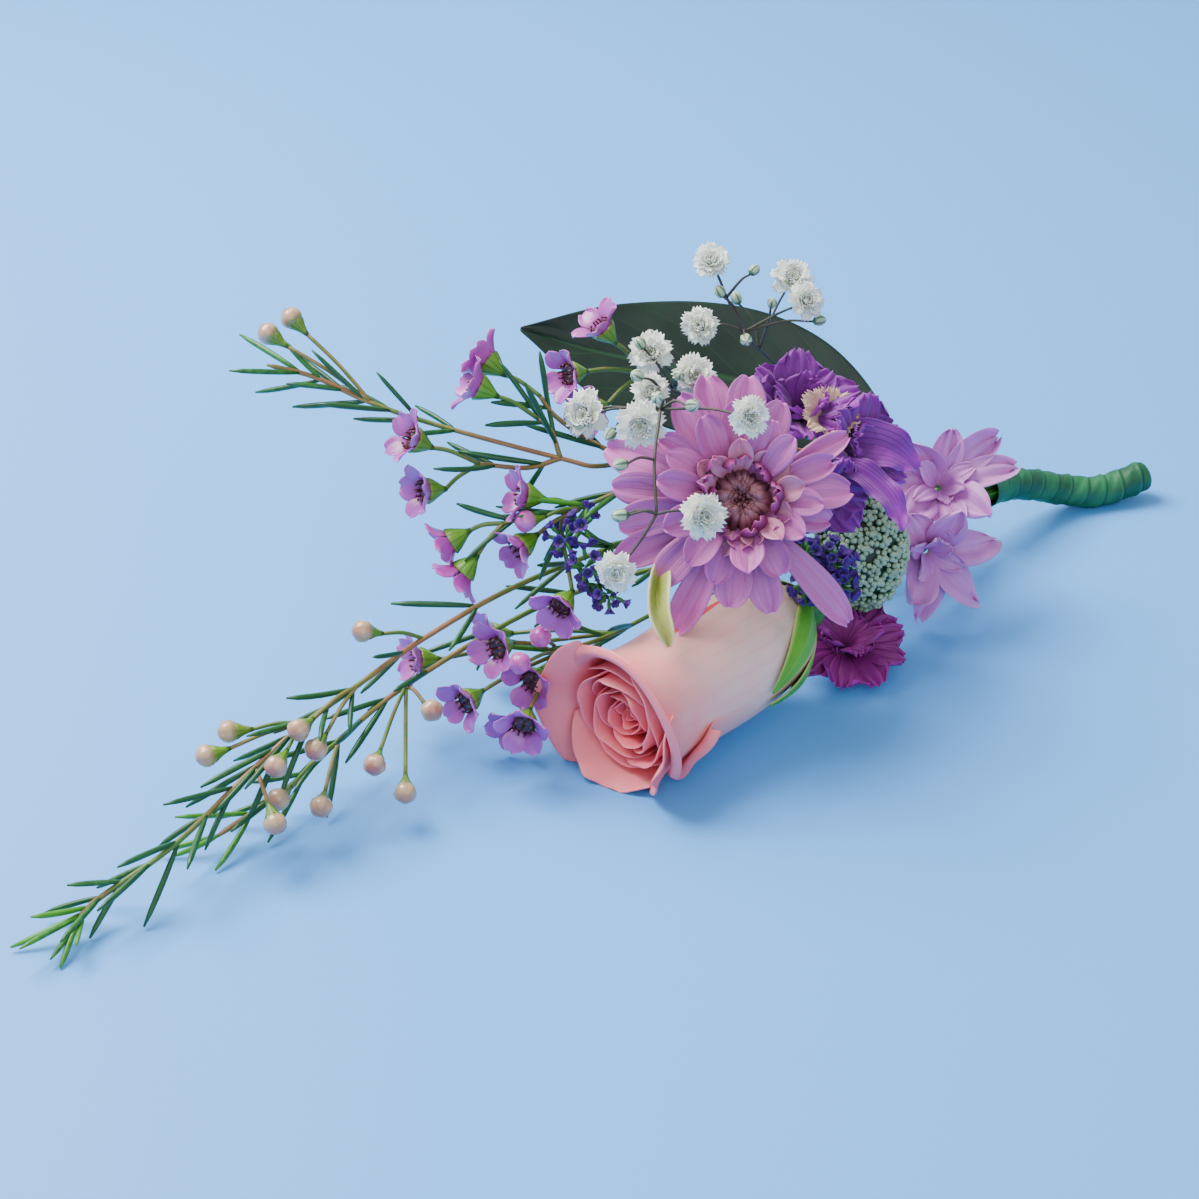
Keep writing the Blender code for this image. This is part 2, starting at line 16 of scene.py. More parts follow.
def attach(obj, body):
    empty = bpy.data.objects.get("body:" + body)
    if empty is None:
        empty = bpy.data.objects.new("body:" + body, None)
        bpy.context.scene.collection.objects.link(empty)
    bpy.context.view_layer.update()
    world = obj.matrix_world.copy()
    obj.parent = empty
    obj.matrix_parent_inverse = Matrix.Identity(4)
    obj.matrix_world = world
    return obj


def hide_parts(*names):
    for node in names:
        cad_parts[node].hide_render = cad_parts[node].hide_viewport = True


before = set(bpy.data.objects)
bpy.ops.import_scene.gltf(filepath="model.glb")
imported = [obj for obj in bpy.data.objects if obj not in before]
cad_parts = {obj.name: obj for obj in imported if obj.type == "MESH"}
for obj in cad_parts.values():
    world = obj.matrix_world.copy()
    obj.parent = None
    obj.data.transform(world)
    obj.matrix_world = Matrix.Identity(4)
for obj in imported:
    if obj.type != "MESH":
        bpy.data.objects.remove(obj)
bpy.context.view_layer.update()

MM = 0.001
BUNCH_MIDDLE = (-9.8, 5.4, 0.0)
TABLE_GAP = 0.12
GOLDEN_ANGLE = math.pi * (3 - math.sqrt(5))

# The taped handle and the fan of stems that leaves its mouth.
TAPE_ROUTE = [(98, -4, 15), (105, -2.8, 13.6), (112, -2, 11.6), (120, -2.4, 8.6), (127, -3.6, 5.8),
              (133, -6, 4.2), (139, -8.2, 4.0), (144, -9.8, 5.0), (149, -11, 6.0)]
TAPE_RADIUS = 3.9
MOUTH_FLARE = 0.7
MOUTH_LENGTH = 3.0
TAIL_LENGTH = 1.6
LINING_RINGS = 12
LANE_PITCH = 1.26
LANE_RADIUS = 0.47
ROW_STEP = math.sqrt(3) / 2
FAN_PLACE = np.array((87, -3.6, 17.4))
FAN_SPREAD = 2.0
TWIG_END = 0.9
SWELL_END = 92
SWELL_LENGTH = 25

ROSE_HIP = Vector((18, -26, 20))
ROSE_MOUTH = Vector((-41, -32, 15.6))
MUM_MIDDLE = Vector((-5, -32, 58))
MUM_FACING = Vector((-0.50, -0.66, 0.56))

# The side from which the bunch is worn and seen; small flowers turn towards it.
FRONT = Vector((-0.533, -0.682, 0.5))

# Wild stems are drawn finer than their solids, and their needles keep off the table.
FINE_STEM = 0.68
FINE_START = 80
FINE_LENGTH = 30
NEEDLE_LENGTH = 18.0
NEEDLE_RADIUS = 0.64
NEEDLE_CLEARANCE = 1.0

# How deep the skins' relief is, and how far light travels in a thin petal.
RELIEF_DEPTH = 0.25
GLOW_DEPTH = 1.5

CAMERA_PLACE = (-0.3293, -0.4167, 0.325)
CAMERA_TILT = 60
CAMERA_HEADING = -38
LENS_LENGTH = 81.97
FLOOR_BLUE = (0.10, 0.40, 0.95, 1)

Form = collections.namedtuple("Form", "points corners sizes places side tint")


# ---------------------------------------------------------------- curves and frames


def smoothstep(value):
    value = np.clip(value, 0, 1)
    return value * value * (3 - 2 * value)


def flow(rows, along):
    """Read evenly spaced rows of numbers along one smooth curve; `along` runs from 0 to 1."""
    rows = np.asarray(rows, float)
    if rows.ndim == 1:
        rows = rows[:, None]
    rows = np.vstack([2 * rows[0] - rows[1], rows, 2 * rows[-1] - rows[-2]])
    place = np.clip(along, 0, 1) * (len(rows) - 3)
    low = np.minimum(place.astype(int), len(rows) - 4)
    t = (place - low)[..., None]
    before, start, stop, after = (rows[low + k] for k in range(4))
    return 0.5 * (2 * start + (stop - before) * t + (2 * before - 5 * start + 4 * stop - after) * t ** 2
                  + (3 * start - before - 3 * stop + after) * t ** 3)


def smooth_route(points, steps=6):
    points = np.array([tuple(p) for p in points], float)
    return flow(points, np.linspace(0, 1, (len(points) - 1) * steps + 1))


def unit(vectors):
    return vectors / np.maximum(np.linalg.norm(vectors, axis=-1, keepdims=True), 1e-9)


def pose(place, facing, roll=0.0):
    """The frame whose +Z looks along `facing`, with its origin at `place`."""
    turn = Vector(facing).to_track_quat("Z", "Y").to_matrix().to_4x4()
    return Matrix.Translation(Vector(place)) @ turn @ Matrix.Rotation(roll, 4, "Z")


def around(angle):
    return Matrix.Rotation(angle, 4, "Z")


def lane(across, row):
    """A stem's place in the close-packed bundle: half pitches across and rows up."""
    return np.array((0, across * LANE_PITCH / 2, row * LANE_PITCH * ROW_STEP))


def stem(across, row, onward, thick, tip=None):
    """The route and radii of a stem: its own lane through the tape, then on to the flower."""
    place = lane(across, row)
    inside = np.array(TAPE_ROUTE[-2::-1], float) + place
    route = np.vstack([inside, smooth_route([FAN_PLACE + FAN_SPREAD * place, *onward])])
    out = np.clip((SWELL_END - route[:, 0]) / SWELL_LENGTH, 0, 1)
    radii = LANE_RADIUS + (thick - LANE_RADIUS) * out
    if tip is not None:
        radii[-1] = tip
    return route, radii


def finer(route, radii):
    """The radii of a wild stem, which thins out once it has left the fan."""
    return radii * (1 + (FINE_STEM - 1) * smoothstep((FINE_START - route[:, 0]) / FINE_LENGTH))


def behind(place, facing):
    """The point at the back of a flower where its twig ends."""
    return np.array(place) - np.array(Vector(facing).normalized()) * TWIG_END


# ---------------------------------------------------------------- modelling by hand


def clean_start():
    if bpy.context.mode != "OBJECT":
        bpy.ops.object.mode_set(mode="OBJECT")
    bpy.ops.object.select_all(action="DESELECT")


def apply(thing, kind, **settings):
    modifier = thing.modifiers.new(kind.lower(), kind)
    for name, value in settings.items():
        setattr(modifier, name, value)
    bpy.ops.object.modifier_apply(modifier=modifier.name)


def numbers(data, name, width=1, kind=float):
    found = np.empty(len(data) * width, kind)
    data.foreach_get(name, found)
    return found.reshape(-1, width) if width > 1 else found


def taken(thing):
    """The finished shape of a modelled thing, which is then put away."""
    mesh = thing.data
    points = numbers(mesh.vertices, "co", 3)
    corners = numbers(mesh.loops, "vertex_index", kind=np.int32)
    sizes = numbers(mesh.polygons, "loop_total", kind=np.int32)
    places = np.zeros((len(corners), 2))
    if mesh.uv_layers:
        places = numbers(mesh.uv_layers.active.data, "uv", 2)
    side = np.ones(len(points))
    if "side" in mesh.attributes:
        side = numbers(mesh.attributes["side"].data, "value")
    bpy.data.objects.remove(thing)
    bpy.data.meshes.remove(mesh)
    return Form(points, corners, sizes, places, side, np.full(len(points), 0.5))


def sheet(shape, across=6, along=10, wall=0.3, smooth=1):
    """A petal or leaf: a flat grid gets a wall, is drawn out by `shape` and then smoothed."""
    clean_start()
    bpy.ops.mesh.primitive_grid_add(x_subdivisions=across, y_subdivisions=along, size=2, calc_uvs=True)
    thing = bpy.context.object
    apply(thing, "SOLIDIFY", thickness=wall, offset=0)
    flat = numbers(thing.data.vertices, "co", 3)
    u, v, lift = flat[:, 0], (flat[:, 1] + 1) / 2, flat[:, 2:]
    step = 1e-3
    normal = unit(np.cross(shape(u + step, v) - shape(u - step, v),
                           shape(u, v + step) - shape(u, v - step)))
    drawn = shape(u, v) + normal * lift
    thing.data.vertices.foreach_set("co", drawn.astype(np.float32).ravel())
    upper = thing.data.attributes.new("side", "FLOAT", "POINT")
    upper.data.foreach_set("value", (lift[:, 0] > 0).astype(np.float32))
    if smooth:
        apply(thing, "SUBSURF", levels=smooth, render_levels=smooth)
    return taken(thing)


def turned(profile, sides=10, smooth=0, ribs=0, depth=0.0):
    """A round thing: a ring is extruded and resized, ring by ring, along (height, radius) pairs."""
    clean_start()
    bottom, radius = profile[0]
    bpy.ops.mesh.primitive_circle_add(vertices=sides, radius=radius, fill_type="NGON",
                                      location=(0, 0, bottom))
    bpy.ops.object.transform_apply(location=True)
    thing = bpy.context.object
    bpy.ops.object.mode_set(mode="EDIT")
    bpy.ops.mesh.select_mode(type="FACE")
    bpy.ops.mesh.select_all(action="SELECT")
    for (low, thin), (high, wide) in zip(profile, profile[1:]):
        bpy.ops.mesh.extrude_region_move(TRANSFORM_OT_translate={"value": (0, 0, high - low)})
        share = wide / thin
        bpy.ops.transform.resize(value=(share, share, 1), center_override=(0, 0, high))
    bpy.ops.mesh.select_all(action="SELECT")
    bpy.ops.mesh.normals_make_consistent(inside=False)
    bpy.ops.object.mode_set(mode="OBJECT")
    if smooth:
        apply(thing, "SUBSURF", levels=smooth, render_levels=smooth)
    form = taken(thing)
    angle = np.arctan2(form.points[:, 1], form.points[:, 0])
    share = smoothstep((form.points[:, 2] - profile[0][0]) / (profile[-1][0] - profile[0][0]) * 6)
    form.points[:, :2] *= (1 + depth * np.cos(ribs * angle) * share)[:, None]
    return form._replace(places=round_places(form))


def round_places(form):
    """Texture places round an upright form: turns across and height along, without a seam gap."""
    angle = np.arctan2(form.points[:, 1], form.points[:, 0]) / (2 * math.pi) + 0.5
    height = form.points[:, 2]
    height = (height - height.min()) / np.ptp(height)
    across = angle[form.corners]
    face = np.repeat(np.arange(len(form.sizes)), form.sizes)
    widest = np.full(len(form.sizes), -1.0)
    np.maximum.at(widest, face, across)
    across = np.where(widest[face] - across > 0.5, across + 1, across)
    return np.stack([across, height[form.corners]], axis=1)


def tube(points, radii, sides=8, tint=0.5):
    """A round strand along points, closed at both ends, with its own length as texture place."""
    points = np.array([tuple(p) for p in points], float)
    radii = np.broadcast_to(radii, len(points))
    heading = unit(np.gradient(points, axis=0))
    normal = np.cross(heading[0], (0.31, 0.17, 0.93))
    angles = np.arange(sides) * 2 * math.pi / sides
    rings = []
    for place, radius, ahead in zip(points, radii, heading):
        normal = unit(normal - ahead * (normal @ ahead))
        other = np.cross(ahead, normal)
        rings.append(place + radius * (np.outer(np.cos(angles), normal) + np.outer(np.sin(angles), other)))
    count = len(points)
    ring, k = np.meshgrid(np.arange(count - 1), np.arange(sides), indexing="ij")
    after = (k + 1) % sides
    quads = np.stack([ring * sides + k, ring * sides + after, (ring + 1) * sides + after,
                      (ring + 1) * sides + k], -1)
    caps = np.concatenate([np.arange(sides)[::-1], (count - 1) * sides + np.arange(sides)])
    length = np.concatenate([[0], np.cumsum(np.linalg.norm(np.diff(points, axis=0), axis=1))]) / 10
    across = np.stack([k, k + 1, k + 1, k], -1) / sides
    along = np.stack([length[ring], length[ring], length[ring + 1], length[ring + 1]], -1)
    places = np.concatenate([np.stack([across, along], -1).reshape(-1, 2), np.zeros((2 * sides, 2))])
    corners = np.concatenate([quads.ravel(), caps])
    sizes = np.concatenate([np.full(quads.size // 4, 4), [sides, sides]])
    everywhere = np.repeat(np.broadcast_to(tint, count), sides)
    return Form(np.concatenate(rings), corners, sizes, places, np.ones(count * sides), everywhere)


def put(form, where, tint=None, size=1.0):
    """A copy of a form in another frame, with its own size and tint."""
    turn = np.array(where)
    points = form.points * size @ turn[:3, :3].T + turn[:3, 3]
    tints = form.tint if tint is None else np.full(len(points), float(tint))
    return form._replace(points=points, tint=tints)


def piece(name, forms, finish, slot, *nodes):
    """One piece of the bunch from forms already in place, standing for CAD nodes."""
    starts = np.cumsum([0] + [len(form.points) for form in forms[:-1]])
    points = (np.concatenate([form.points for form in forms]) - BUNCH_MIDDLE) * MM
    points[:, 2] = np.maximum(points[:, 2], TABLE_GAP * MM)
    corners = np.concatenate([form.corners + start for form, start in zip(forms, starts)])
    sizes = np.concatenate([form.sizes for form in forms])
    mesh = bpy.data.meshes.new(name)
    mesh.vertices.add(len(points))
    mesh.vertices.foreach_set("co", points.astype(np.float32).ravel())
    mesh.loops.add(len(corners))
    mesh.loops.foreach_set("vertex_index", corners.astype(np.int32))
    mesh.polygons.add(len(sizes))
    mesh.polygons.foreach_set("loop_start", (np.cumsum(sizes) - sizes).astype(np.int32))
    mesh.update(calc_edges=True)
    layer = mesh.uv_layers.new(name="UVMap")
    layer.data.foreach_set("uv", np.concatenate([form.places for form in forms]).astype(np.float32).ravel())
    for kind in ("side", "tint"):
        values = np.concatenate([getattr(form, kind) for form in forms])
        mesh.attributes.new(kind, "FLOAT", "POINT").data.foreach_set("value", values.astype(np.float32))
    mesh.shade_smooth()
    mesh.materials.append(finish)
    thing = bpy.data.objects.new(name, mesh)
    bpy.context.scene.collection.objects.link(thing)
    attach(thing, "root")
    if nodes:
        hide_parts(*nodes)
    return thing


# ---------------------------------------------------------------- shapes of petals and leaves


def petal(length, width, rise=0.0, fall=0.0, start=0.0, height=0.0, base=0.3, widest=0.6, blunt=0.12,
          drop=0.0, notch=0.0, teeth=2, cup=0.0, grooves=0, groove=0.0, ruffle=0.0, waves=3, phase=0.0,
          twist=0.0, sway=0.0):
    """A petal that grows out along +X, lies across Y and faces up +Z.

    It leaves at `rise` degrees and ends at `fall`. The base is a share of the width, the
    width is full at `widest` along it, and the round end narrows to the share `blunt`.
    """
    first = math.radians(rise)
    bend = math.radians(fall) - first or 1e-3

    def shape(u, v):
        t = 1 - (1 - np.clip(v, 0, 1)) ** 1.4
        end = np.clip((t - widest) / (1 - widest), 0, 1)
        half = width / 2 * (base + (1 - base) * smoothstep(t / widest))
        half = half * np.maximum(np.sqrt(np.maximum(1 - end ** 2, 0)), blunt)
        share = t * (1 - drop * np.abs(u) ** 2.5 * t) + notch * np.cos(math.pi * teeth * u) * t ** 6
        turn = first + bend * share
        out = start + length * (np.sin(turn) - math.sin(first)) / bend
        up = height + length * (math.cos(first) - np.cos(turn)) / bend
        across = u * half
        lift = width * cup * u ** 2 * t + across * np.sin(twist * t)
        lift = lift + groove * np.cos(math.pi * grooves * u) * np.sin(math.pi * np.minimum(t + 0.12, 1))
        lift = lift + ruffle * np.sin(math.pi * waves * u + phase) * t ** 2
        return np.stack([out - np.sin(turn) * lift, across * np.cos(twist * t) + sway * t ** 2,
                         up + np.cos(turn) * lift], axis=-1)

    return shape


def rose_cup(turn, half_span, rows, spiral=1.1, drop=4.0, point=0.0, wave=0.3, phase=0.0, lean=0.0):
    """A rose petal wrapped round +Z. Rows are (reach, radius); its far side stands out by `spiral`."""

    def shape(u, v):
        rows_here = flow(rows, v)
        reach, radius = rows_here[..., 0], rows_here[..., 1]
        angle = turn + math.radians(half_span) * (0.42 + 0.58 * smoothstep(v / 0.3)) * u + lean * v
        radius = radius + spiral * u * np.minimum(v * 5, 1)
        radius = radius + wave * np.sin(2.6 * math.pi * u + phase) * v ** 4
        reach = reach - drop * np.abs(u) ** 3 * v ** 2 + point * np.exp(-(u / 0.16) ** 2) * v ** 6
        return np.stack([radius * np.cos(angle), radius * np.sin(angle), reach], axis=-1)

    return shape


def blade(spine, halves, facing, fold=0.0, wave=0.0, waves=6, groove=0.0, veins=0, relief=0.0):
    """A leaf along a spine of points, with half widths and its upper face towards `facing`."""
    facing = np.array(tuple(facing), float)

    def shape(u, v):
        heading = unit(flow(spine, v + 0.01) - flow(spine, v - 0.01))
        side = unit(np.cross(heading, facing))
        above = np.cross(side, heading)
        half = np.maximum(flow(halves, v)[..., 0], 0.03)
        lift = fold * np.abs(u) * half + wave * np.sin(math.pi * waves * v) * u ** 2
        lift = lift - groove * np.exp(-(u / 0.07) ** 2)
        off = np.abs(u)
        ridges = np.cos(2 * math.pi * veins * (v - 0.16 * off))
        lift = lift + relief * ridges * off * (1 - off)
        return flow(spine, v) + side * (u * half)[:, None] + above * lift[:, None]

    return shape


def needle(length, curve):
    """A slender leaf along +Z that is widest low down and bends a little towards +X."""
    share = np.linspace(0, 1, 7)
    points = np.stack([curve * share ** 2, 0 * share, length * share], axis=1)
    radii = NEEDLE_RADIUS * np.array([0.5, 0.85, 1.0, 1.05, 1.05, 0.9, 0.35])
    return tube(points, radii, 6)


# ---------------------------------------------------------------- node trees


class Value:
    """A socket in a node tree. Arithmetic on it adds Math nodes to its tree."""

    def __init__(self, socket):
        self.socket = socket
        self.tree = socket.id_data

    def __add__(self, other):
        return maths("ADD", self, other)

    def __radd__(self, other):
        return maths("ADD", other, self)

    def __sub__(self, other):
        return maths("SUBTRACT", self, other)

    def __rsub__(self, other):
        return maths("SUBTRACT", other, self)

    def __mul__(self, other):
        return maths("MULTIPLY", self, other)

    def __truediv__(self, other):
        return maths("DIVIDE", self, other)

    def __abs__(self):
        return maths("ABSOLUTE", self)

    def clamped(self):
        """The same number, kept between 0 and 1."""
        self.socket.node.use_clamp = True
        return self


def add(tree, kind, inputs=(), **settings):
    """A node with its settings; each input is a plain value or a Value of the tree."""
    node = tree.nodes.new(kind)
    for name, value in settings.items():
        setattr(node, name, value)
    for name, value in dict(inputs).items():
        if isinstance(value, Value):
            tree.links.new(value.socket, node.inputs[name])
        else:
            node.inputs[name].default_value = value
    return node


def maths(operation, *values):
    tree = next(value.tree for value in values if isinstance(value, Value))
    return Value(add(tree, "ShaderNodeMath", dict(enumerate(values)), operation=operation).outputs[0])


def ripple(turns):
    """A wave between -1 and 1 with one crest in every whole turn."""
    return maths("COSINE", turns * (2 * math.pi))


def rising(value, low, high):
    """0 below `low`, 1 above `high`, smooth between."""
    inputs = {"Value": value, "From Min": low, "From Max": high}
    return Value(add(value.tree, "ShaderNodeMapRange", inputs, interpolation_type="SMOOTHSTEP").outputs[0])


def mixed(share, one, other):
    inputs = {0: share, 6: one, 7: other}
    return Value(add(share.tree, "ShaderNodeMix", inputs, data_type="RGBA").outputs[2])


def object_place(tree):
    return Value(add(tree, "ShaderNodeTexCoord").outputs["Object"])


def stretched(across, along):
    return Value(add(across.tree, "ShaderNodeCombineXYZ", {0: across, 1: along}).outputs[0])


def noise(where, scale, detail):
    inputs = {"Vector": where, "Scale": scale, "Detail": detail}
    return Value(add(where.tree, "ShaderNodeTexNoise", inputs).outputs["Fac"])


def attribute(tree, name):
    return Value(add(tree, "ShaderNodeAttribute", attribute_name=name).outputs["Fac"])


def across_and_along(tree):
    place = Value(add(tree, "ShaderNodeUVMap", uv_map="UVMap").outputs[0])
    parts = add(tree, "ShaderNodeSeparateXYZ", {0: place})
    return Value(parts.outputs[0]), Value(parts.outputs[1])


def new_group(name, inputs):
    """An empty node group and a reader of its inputs, each a name and a default colour or number."""
    tree = bpy.data.node_groups.new(name, "ShaderNodeTree")
    for label, default in inputs:
        kind = "NodeSocketColor" if isinstance(default, tuple) else "NodeSocketFloat"
        socket = tree.interface.new_socket(label, in_out="INPUT", socket_type=kind)
        socket.default_value = (*default, 1) if isinstance(default, tuple) else default
    for label in ("Color", "Roughness", "Height"):
        kind = "NodeSocketColor" if label == "Color" else "NodeSocketFloat"
        tree.interface.new_socket(label, in_out="OUTPUT", socket_type=kind)
    source = tree.nodes.new("NodeGroupInput")

    def given(label):
        return Value(source.outputs[label])

    return tree, given


def close_group(tree, **results):
    add(tree, "NodeGroupOutput", results)
    return tree


def tinted(colour, given):
    """The colour drawn towards the group's Tint by the tint that each form carries."""
    share = (attribute(colour.tree, "tint") * given("Tint Share")).clamped()
    return mixed(share, colour, given("Tint"))


def petal_tissue():
    """Living petal: colour from base to edge, branching veins, blotches, and fine grain."""
    tree, given = new_group("petal_tissue", [
        ("Base", (0.5, 0.5, 0.3)), ("Middle", (0.7, 0.4, 0.5)), ("Edge", (0.8, 0.6, 0.7)),
        ("Reverse", (0.8, 0.7, 0.75)), ("Reverse Share", 0.5), ("Vein", (0.4, 0.1, 0.3)), ("Veins", 7.0),
        ("Vein Strength", 0.3), ("Tint", (0.6, 0.2, 0.3)), ("Tint Share", 0.4), ("Base End", 0.35),
        ("Edge Start", 0.6), ("Blotch", 0.25), ("Gloss", 0.5)])
    where = object_place(tree)
    blotch = noise(where, 160, 4)
    grain = noise(where, 2600, 2)
    across, along = across_and_along(tree)
    place = along + (blotch - 0.5) * given("Blotch")
    start = (place / given("Base End")).clamped()
    colour = mixed(rising(start, 0.1, 1.0), given("Base"), given("Middle"))
    end = ((place - given("Edge Start")) / (1.0 - given("Edge Start"))).clamped()
    colour = mixed(rising(end, 0.0, 1.0), colour, given("Edge"))
    spread = across - 0.5 + (blotch - 0.5) * 0.06
    fade = 1.1 - along * 0.75
    vein = rising(ripple(spread * given("Veins")), 0.45, 1.0)
    vein = (vein * fade * given("Vein Strength")).clamped()
    colour = mixed(vein, colour, given("Vein"))
    colour = tinted(colour, given)
    under = (1.0 - attribute(tree, "side")).clamped() * given("Reverse Share")
    colour = mixed(under, colour, given("Reverse"))
    shaded = add(tree, "ShaderNodeHueSaturation", {"Value": 0.88 + blotch * 0.24, "Color": colour})
    return close_group(tree, Color=Value(shaded.outputs[0]), Roughness=given("Gloss") + grain * 0.16,
                       Height=grain * 0.35 - vein * 1.6)


def stem_skin():
    """Stem: green to brown by tint, with long streaks and small scars."""
    tree, given = new_group("stem_skin", [
        ("Green", (0.1, 0.25, 0.05)), ("Brown", (0.25, 0.13, 0.06)), ("Streak", (0.3, 0.4, 0.15)),
        ("Scar Share", 0.5), ("Gloss", 0.42)])
    across, along = across_and_along(tree)
    streak = noise(stretched(across * 9.0, along), 1.6, 3)
    spot = noise(object_place(tree), 700, 3)
    brown = attribute(tree, "tint") + (spot - 0.5) * 0.5
    colour = mixed(rising(brown, 0.3, 0.75), given("Green"), given("Brown"))
    colour = mixed(rising(streak, 0.45, 0.75) * 0.55, colour, given("Streak"))
    colour = mixed(rising(spot, 0.6, 0.72) * given("Scar Share"), colour, given("Brown"))
    return close_group(tree, Color=colour, Roughness=given("Gloss") + spot * 0.25,
                       Height=streak * 0.7 + spot * 0.4)


def striped_bud():
    """Closed bud or calyx: lengthwise bands that run up to a differently coloured tip."""
    tree, given = new_group("striped_bud", [
        ("Foot", (0.1, 0.25, 0.05)), ("Body", (0.7, 0.6, 0.5)), ("Tip", (0.6, 0.3, 0.4)),
        ("Band", (0.2, 0.3, 0.1)), ("Bands", 5.0), ("Band Strength", 0.5), ("Foot End", 0.35),
        ("Tip Start", 0.7), ("Tint", (0.7, 0.4, 0.5)), ("Tint Share", 0.5), ("Gloss", 0.35)])
    across, along = across_and_along(tree)
    spot = noise(object_place(tree), 900, 3)
    place = along + (spot - 0.5) * 0.2
    foot = (place / given("Foot End")).clamped()
    colour = mixed(rising(foot, 0.5, 1.0), given("Foot"), given("Body"))
    tip = ((place - given("Tip Start")) / 0.2).clamped()
    colour = mixed(tip, colour, given("Tip"))
    band = rising(ripple(across * given("Bands")), 0.2, 0.95)
    colour = mixed(band * given("Band Strength"), colour, given("Band"))
    return close_group(tree, Color=tinted(colour, given), Roughness=given("Gloss") + spot * 0.2,
                       Height=spot * 0.5 - band)


def leaf_skin():
    """Leaf blade: pale midrib and slanting side veins on a mottled green."""
    tree, given = new_group("leaf_skin", [
        ("Green", (0.01, 0.06, 0.03)), ("Pale", (0.08, 0.22, 0.08)), ("Rib", (0.2, 0.35, 0.12)),
        ("Side Veins", 9.0), ("Slant", 0.35), ("Edge Share", 0.0), ("Edge", (0.6, 0.6, 0.35)),
        ("Gloss", 0.25)])
    across, along = across_and_along(tree)
    where = object_place(tree)
    mottle = noise(where, 90, 5)
    cells = Value(add(tree, "ShaderNodeTexVoronoi", {"Vector": where, "Scale": 900.0}).outputs["Distance"])
    off = abs(across - 0.5)
    rib = 1.0 - rising(off, 0.006, 0.03)
    slanted = along - off * given("Slant")
    vein = rising(ripple(slanted * given("Side Veins")), 0.93, 1.0) * (0.75 - off)
    colour = mixed(rising(mottle, 0.35, 0.75), given("Green"), given("Pale"))
    colour = mixed(vein * 0.6, colour, given("Rib"))
    colour = mixed(rib, colour, given("Rib"))
    colour = mixed(rising(off, 0.34, 0.49) * given("Edge Share"), colour, given("Edge"))
    return close_group(tree, Color=colour, Roughness=given("Gloss") + mottle * 0.2,
                       Height=cells * 0.25 - (vein + rib))


def crepe_tape():
    """Stretched paper tape: fine creases across each turn with painted shade in them, waxy streaks,
    pale patches, and a painted highlight on each turn's raised lip with painted shade at the foot of its
    step.
    """
    tree, given = new_group("crepe_tape", [
        ("Green", (0.02, 0.25, 0.09)), ("Pale Patch And Highlight", (0.2, 0.55, 0.28)), ("Painted Shade", (0.0, 0.08, 0.03)),
        ("Gloss", 0.38)])
    across, along = across_and_along(tree)
    crease = noise(stretched(across * 5.0, along * 46.0), 1.0, 4)
    patch = noise(object_place(tree), 120, 4)
    edge = attribute(tree, "tint")
    colour = mixed(rising(patch, 0.35, 0.7), given("Green"), given("Pale Patch And Highlight"))
    # Painted shade darkens the creases. The tint holds each turn's ridge and gives a painted highlight on
    # the raised lip and painted shade at the foot of the step.
    colour = mixed(rising(crease, 0.5, 0.8) * 0.5, colour, given("Painted Shade"))
    colour = mixed(rising(edge, 0.82, 0.97) * 0.6, colour, given("Pale Patch And Highlight"))
    colour = mixed(1.0 - rising(edge, 0.0, 0.12), colour, given("Painted Shade"))
    return close_group(tree, Color=colour, Roughness=given("Gloss") + patch * 0.25,
                       Height=crease + patch * 0.3)


def tissue(name, group, values, bump, glow=0.0, sheen=0.0, coat=0.0):
    """A material of one group. `glow` is the light that a thin petal lets through its surface."""
    material = bpy.data.materials.new(name)
    material.use_nodes = True
    tree = material.node_tree
    shader = tree.nodes["Principled BSDF"]
    skin = tree.nodes.new("ShaderNodeGroup")
    skin.node_tree = group
    for label, value in values.items():
        skin.inputs[label].default_value = (*value, 1) if isinstance(value, tuple) else value
    tree.links.new(skin.outputs["Color"], shader.inputs["Base Color"])
    tree.links.new(skin.outputs["Roughness"], shader.inputs["Roughness"])
    height = Value(skin.outputs["Height"])
    relief = add(tree, "ShaderNodeBump", {"Strength": bump, "Distance": RELIEF_DEPTH * MM,
                                          "Height": height})
    tree.links.new(relief.outputs[0], shader.inputs["Normal"])
    shader.inputs["Subsurface Weight"].default_value = glow
    shader.inputs["Subsurface Scale"].default_value = GLOW_DEPTH * MM
    shader.inputs["Subsurface Radius"].default_value = (1.0, 0.6, 0.5)
    shader.inputs["Sheen Weight"].default_value = sheen
    shader.inputs["Sheen Roughness"].default_value = 0.5
    shader.inputs["Coat Weight"].default_value = coat
    shader.inputs["Coat Roughness"].default_value = 0.25
    return material


# ---------------------------------------------------------------- finishes

PETAL = petal_tissue()
STEM = stem_skin()
BUD = striped_bud()
LEAF = leaf_skin()
TAPE = crepe_tape()

ROSE_OUTSIDE = tissue("rose_pale_pink", PETAL, {
    "Base": (0.26, 0.28, 0.11), "Middle": (0.96, 0.68, 0.57), "Edge": (0.96, 0.17, 0.2),
    "Reverse": (0.95, 0.25, 0.29), "Reverse Share": 0.7, "Vein": (0.86, 0.24, 0.26), "Veins": 13.0,
    "Vein Strength": 0.2, "Tint": (0.94, 0.2, 0.24), "Tint Share": 0.25, "Base End": 0.44,
    "Edge Start": 0.2, "Blotch": 0.35, "Gloss": 0.42}, bump=0.12, glow=0.2)
ROSE_HEART = tissue("rose_coral_heart", PETAL, {
    "Base": (0.62, 0.008, 0.03), "Middle": (0.93, 0.07, 0.11), "Edge": (0.96, 0.3, 0.34),
    "Reverse": (0.95, 0.15, 0.2), "Reverse Share": 0.6, "Vein": (0.75, 0.10, 0.14), "Veins": 11.0,
    "Vein Strength": 0.15, "Tint": (0.86, 0.02, 0.05), "Tint Share": 0.6, "Base End": 0.5,
    "Edge Start": 0.6, "Blotch": 0.2, "Gloss": 0.42}, bump=0.12, glow=0.2)
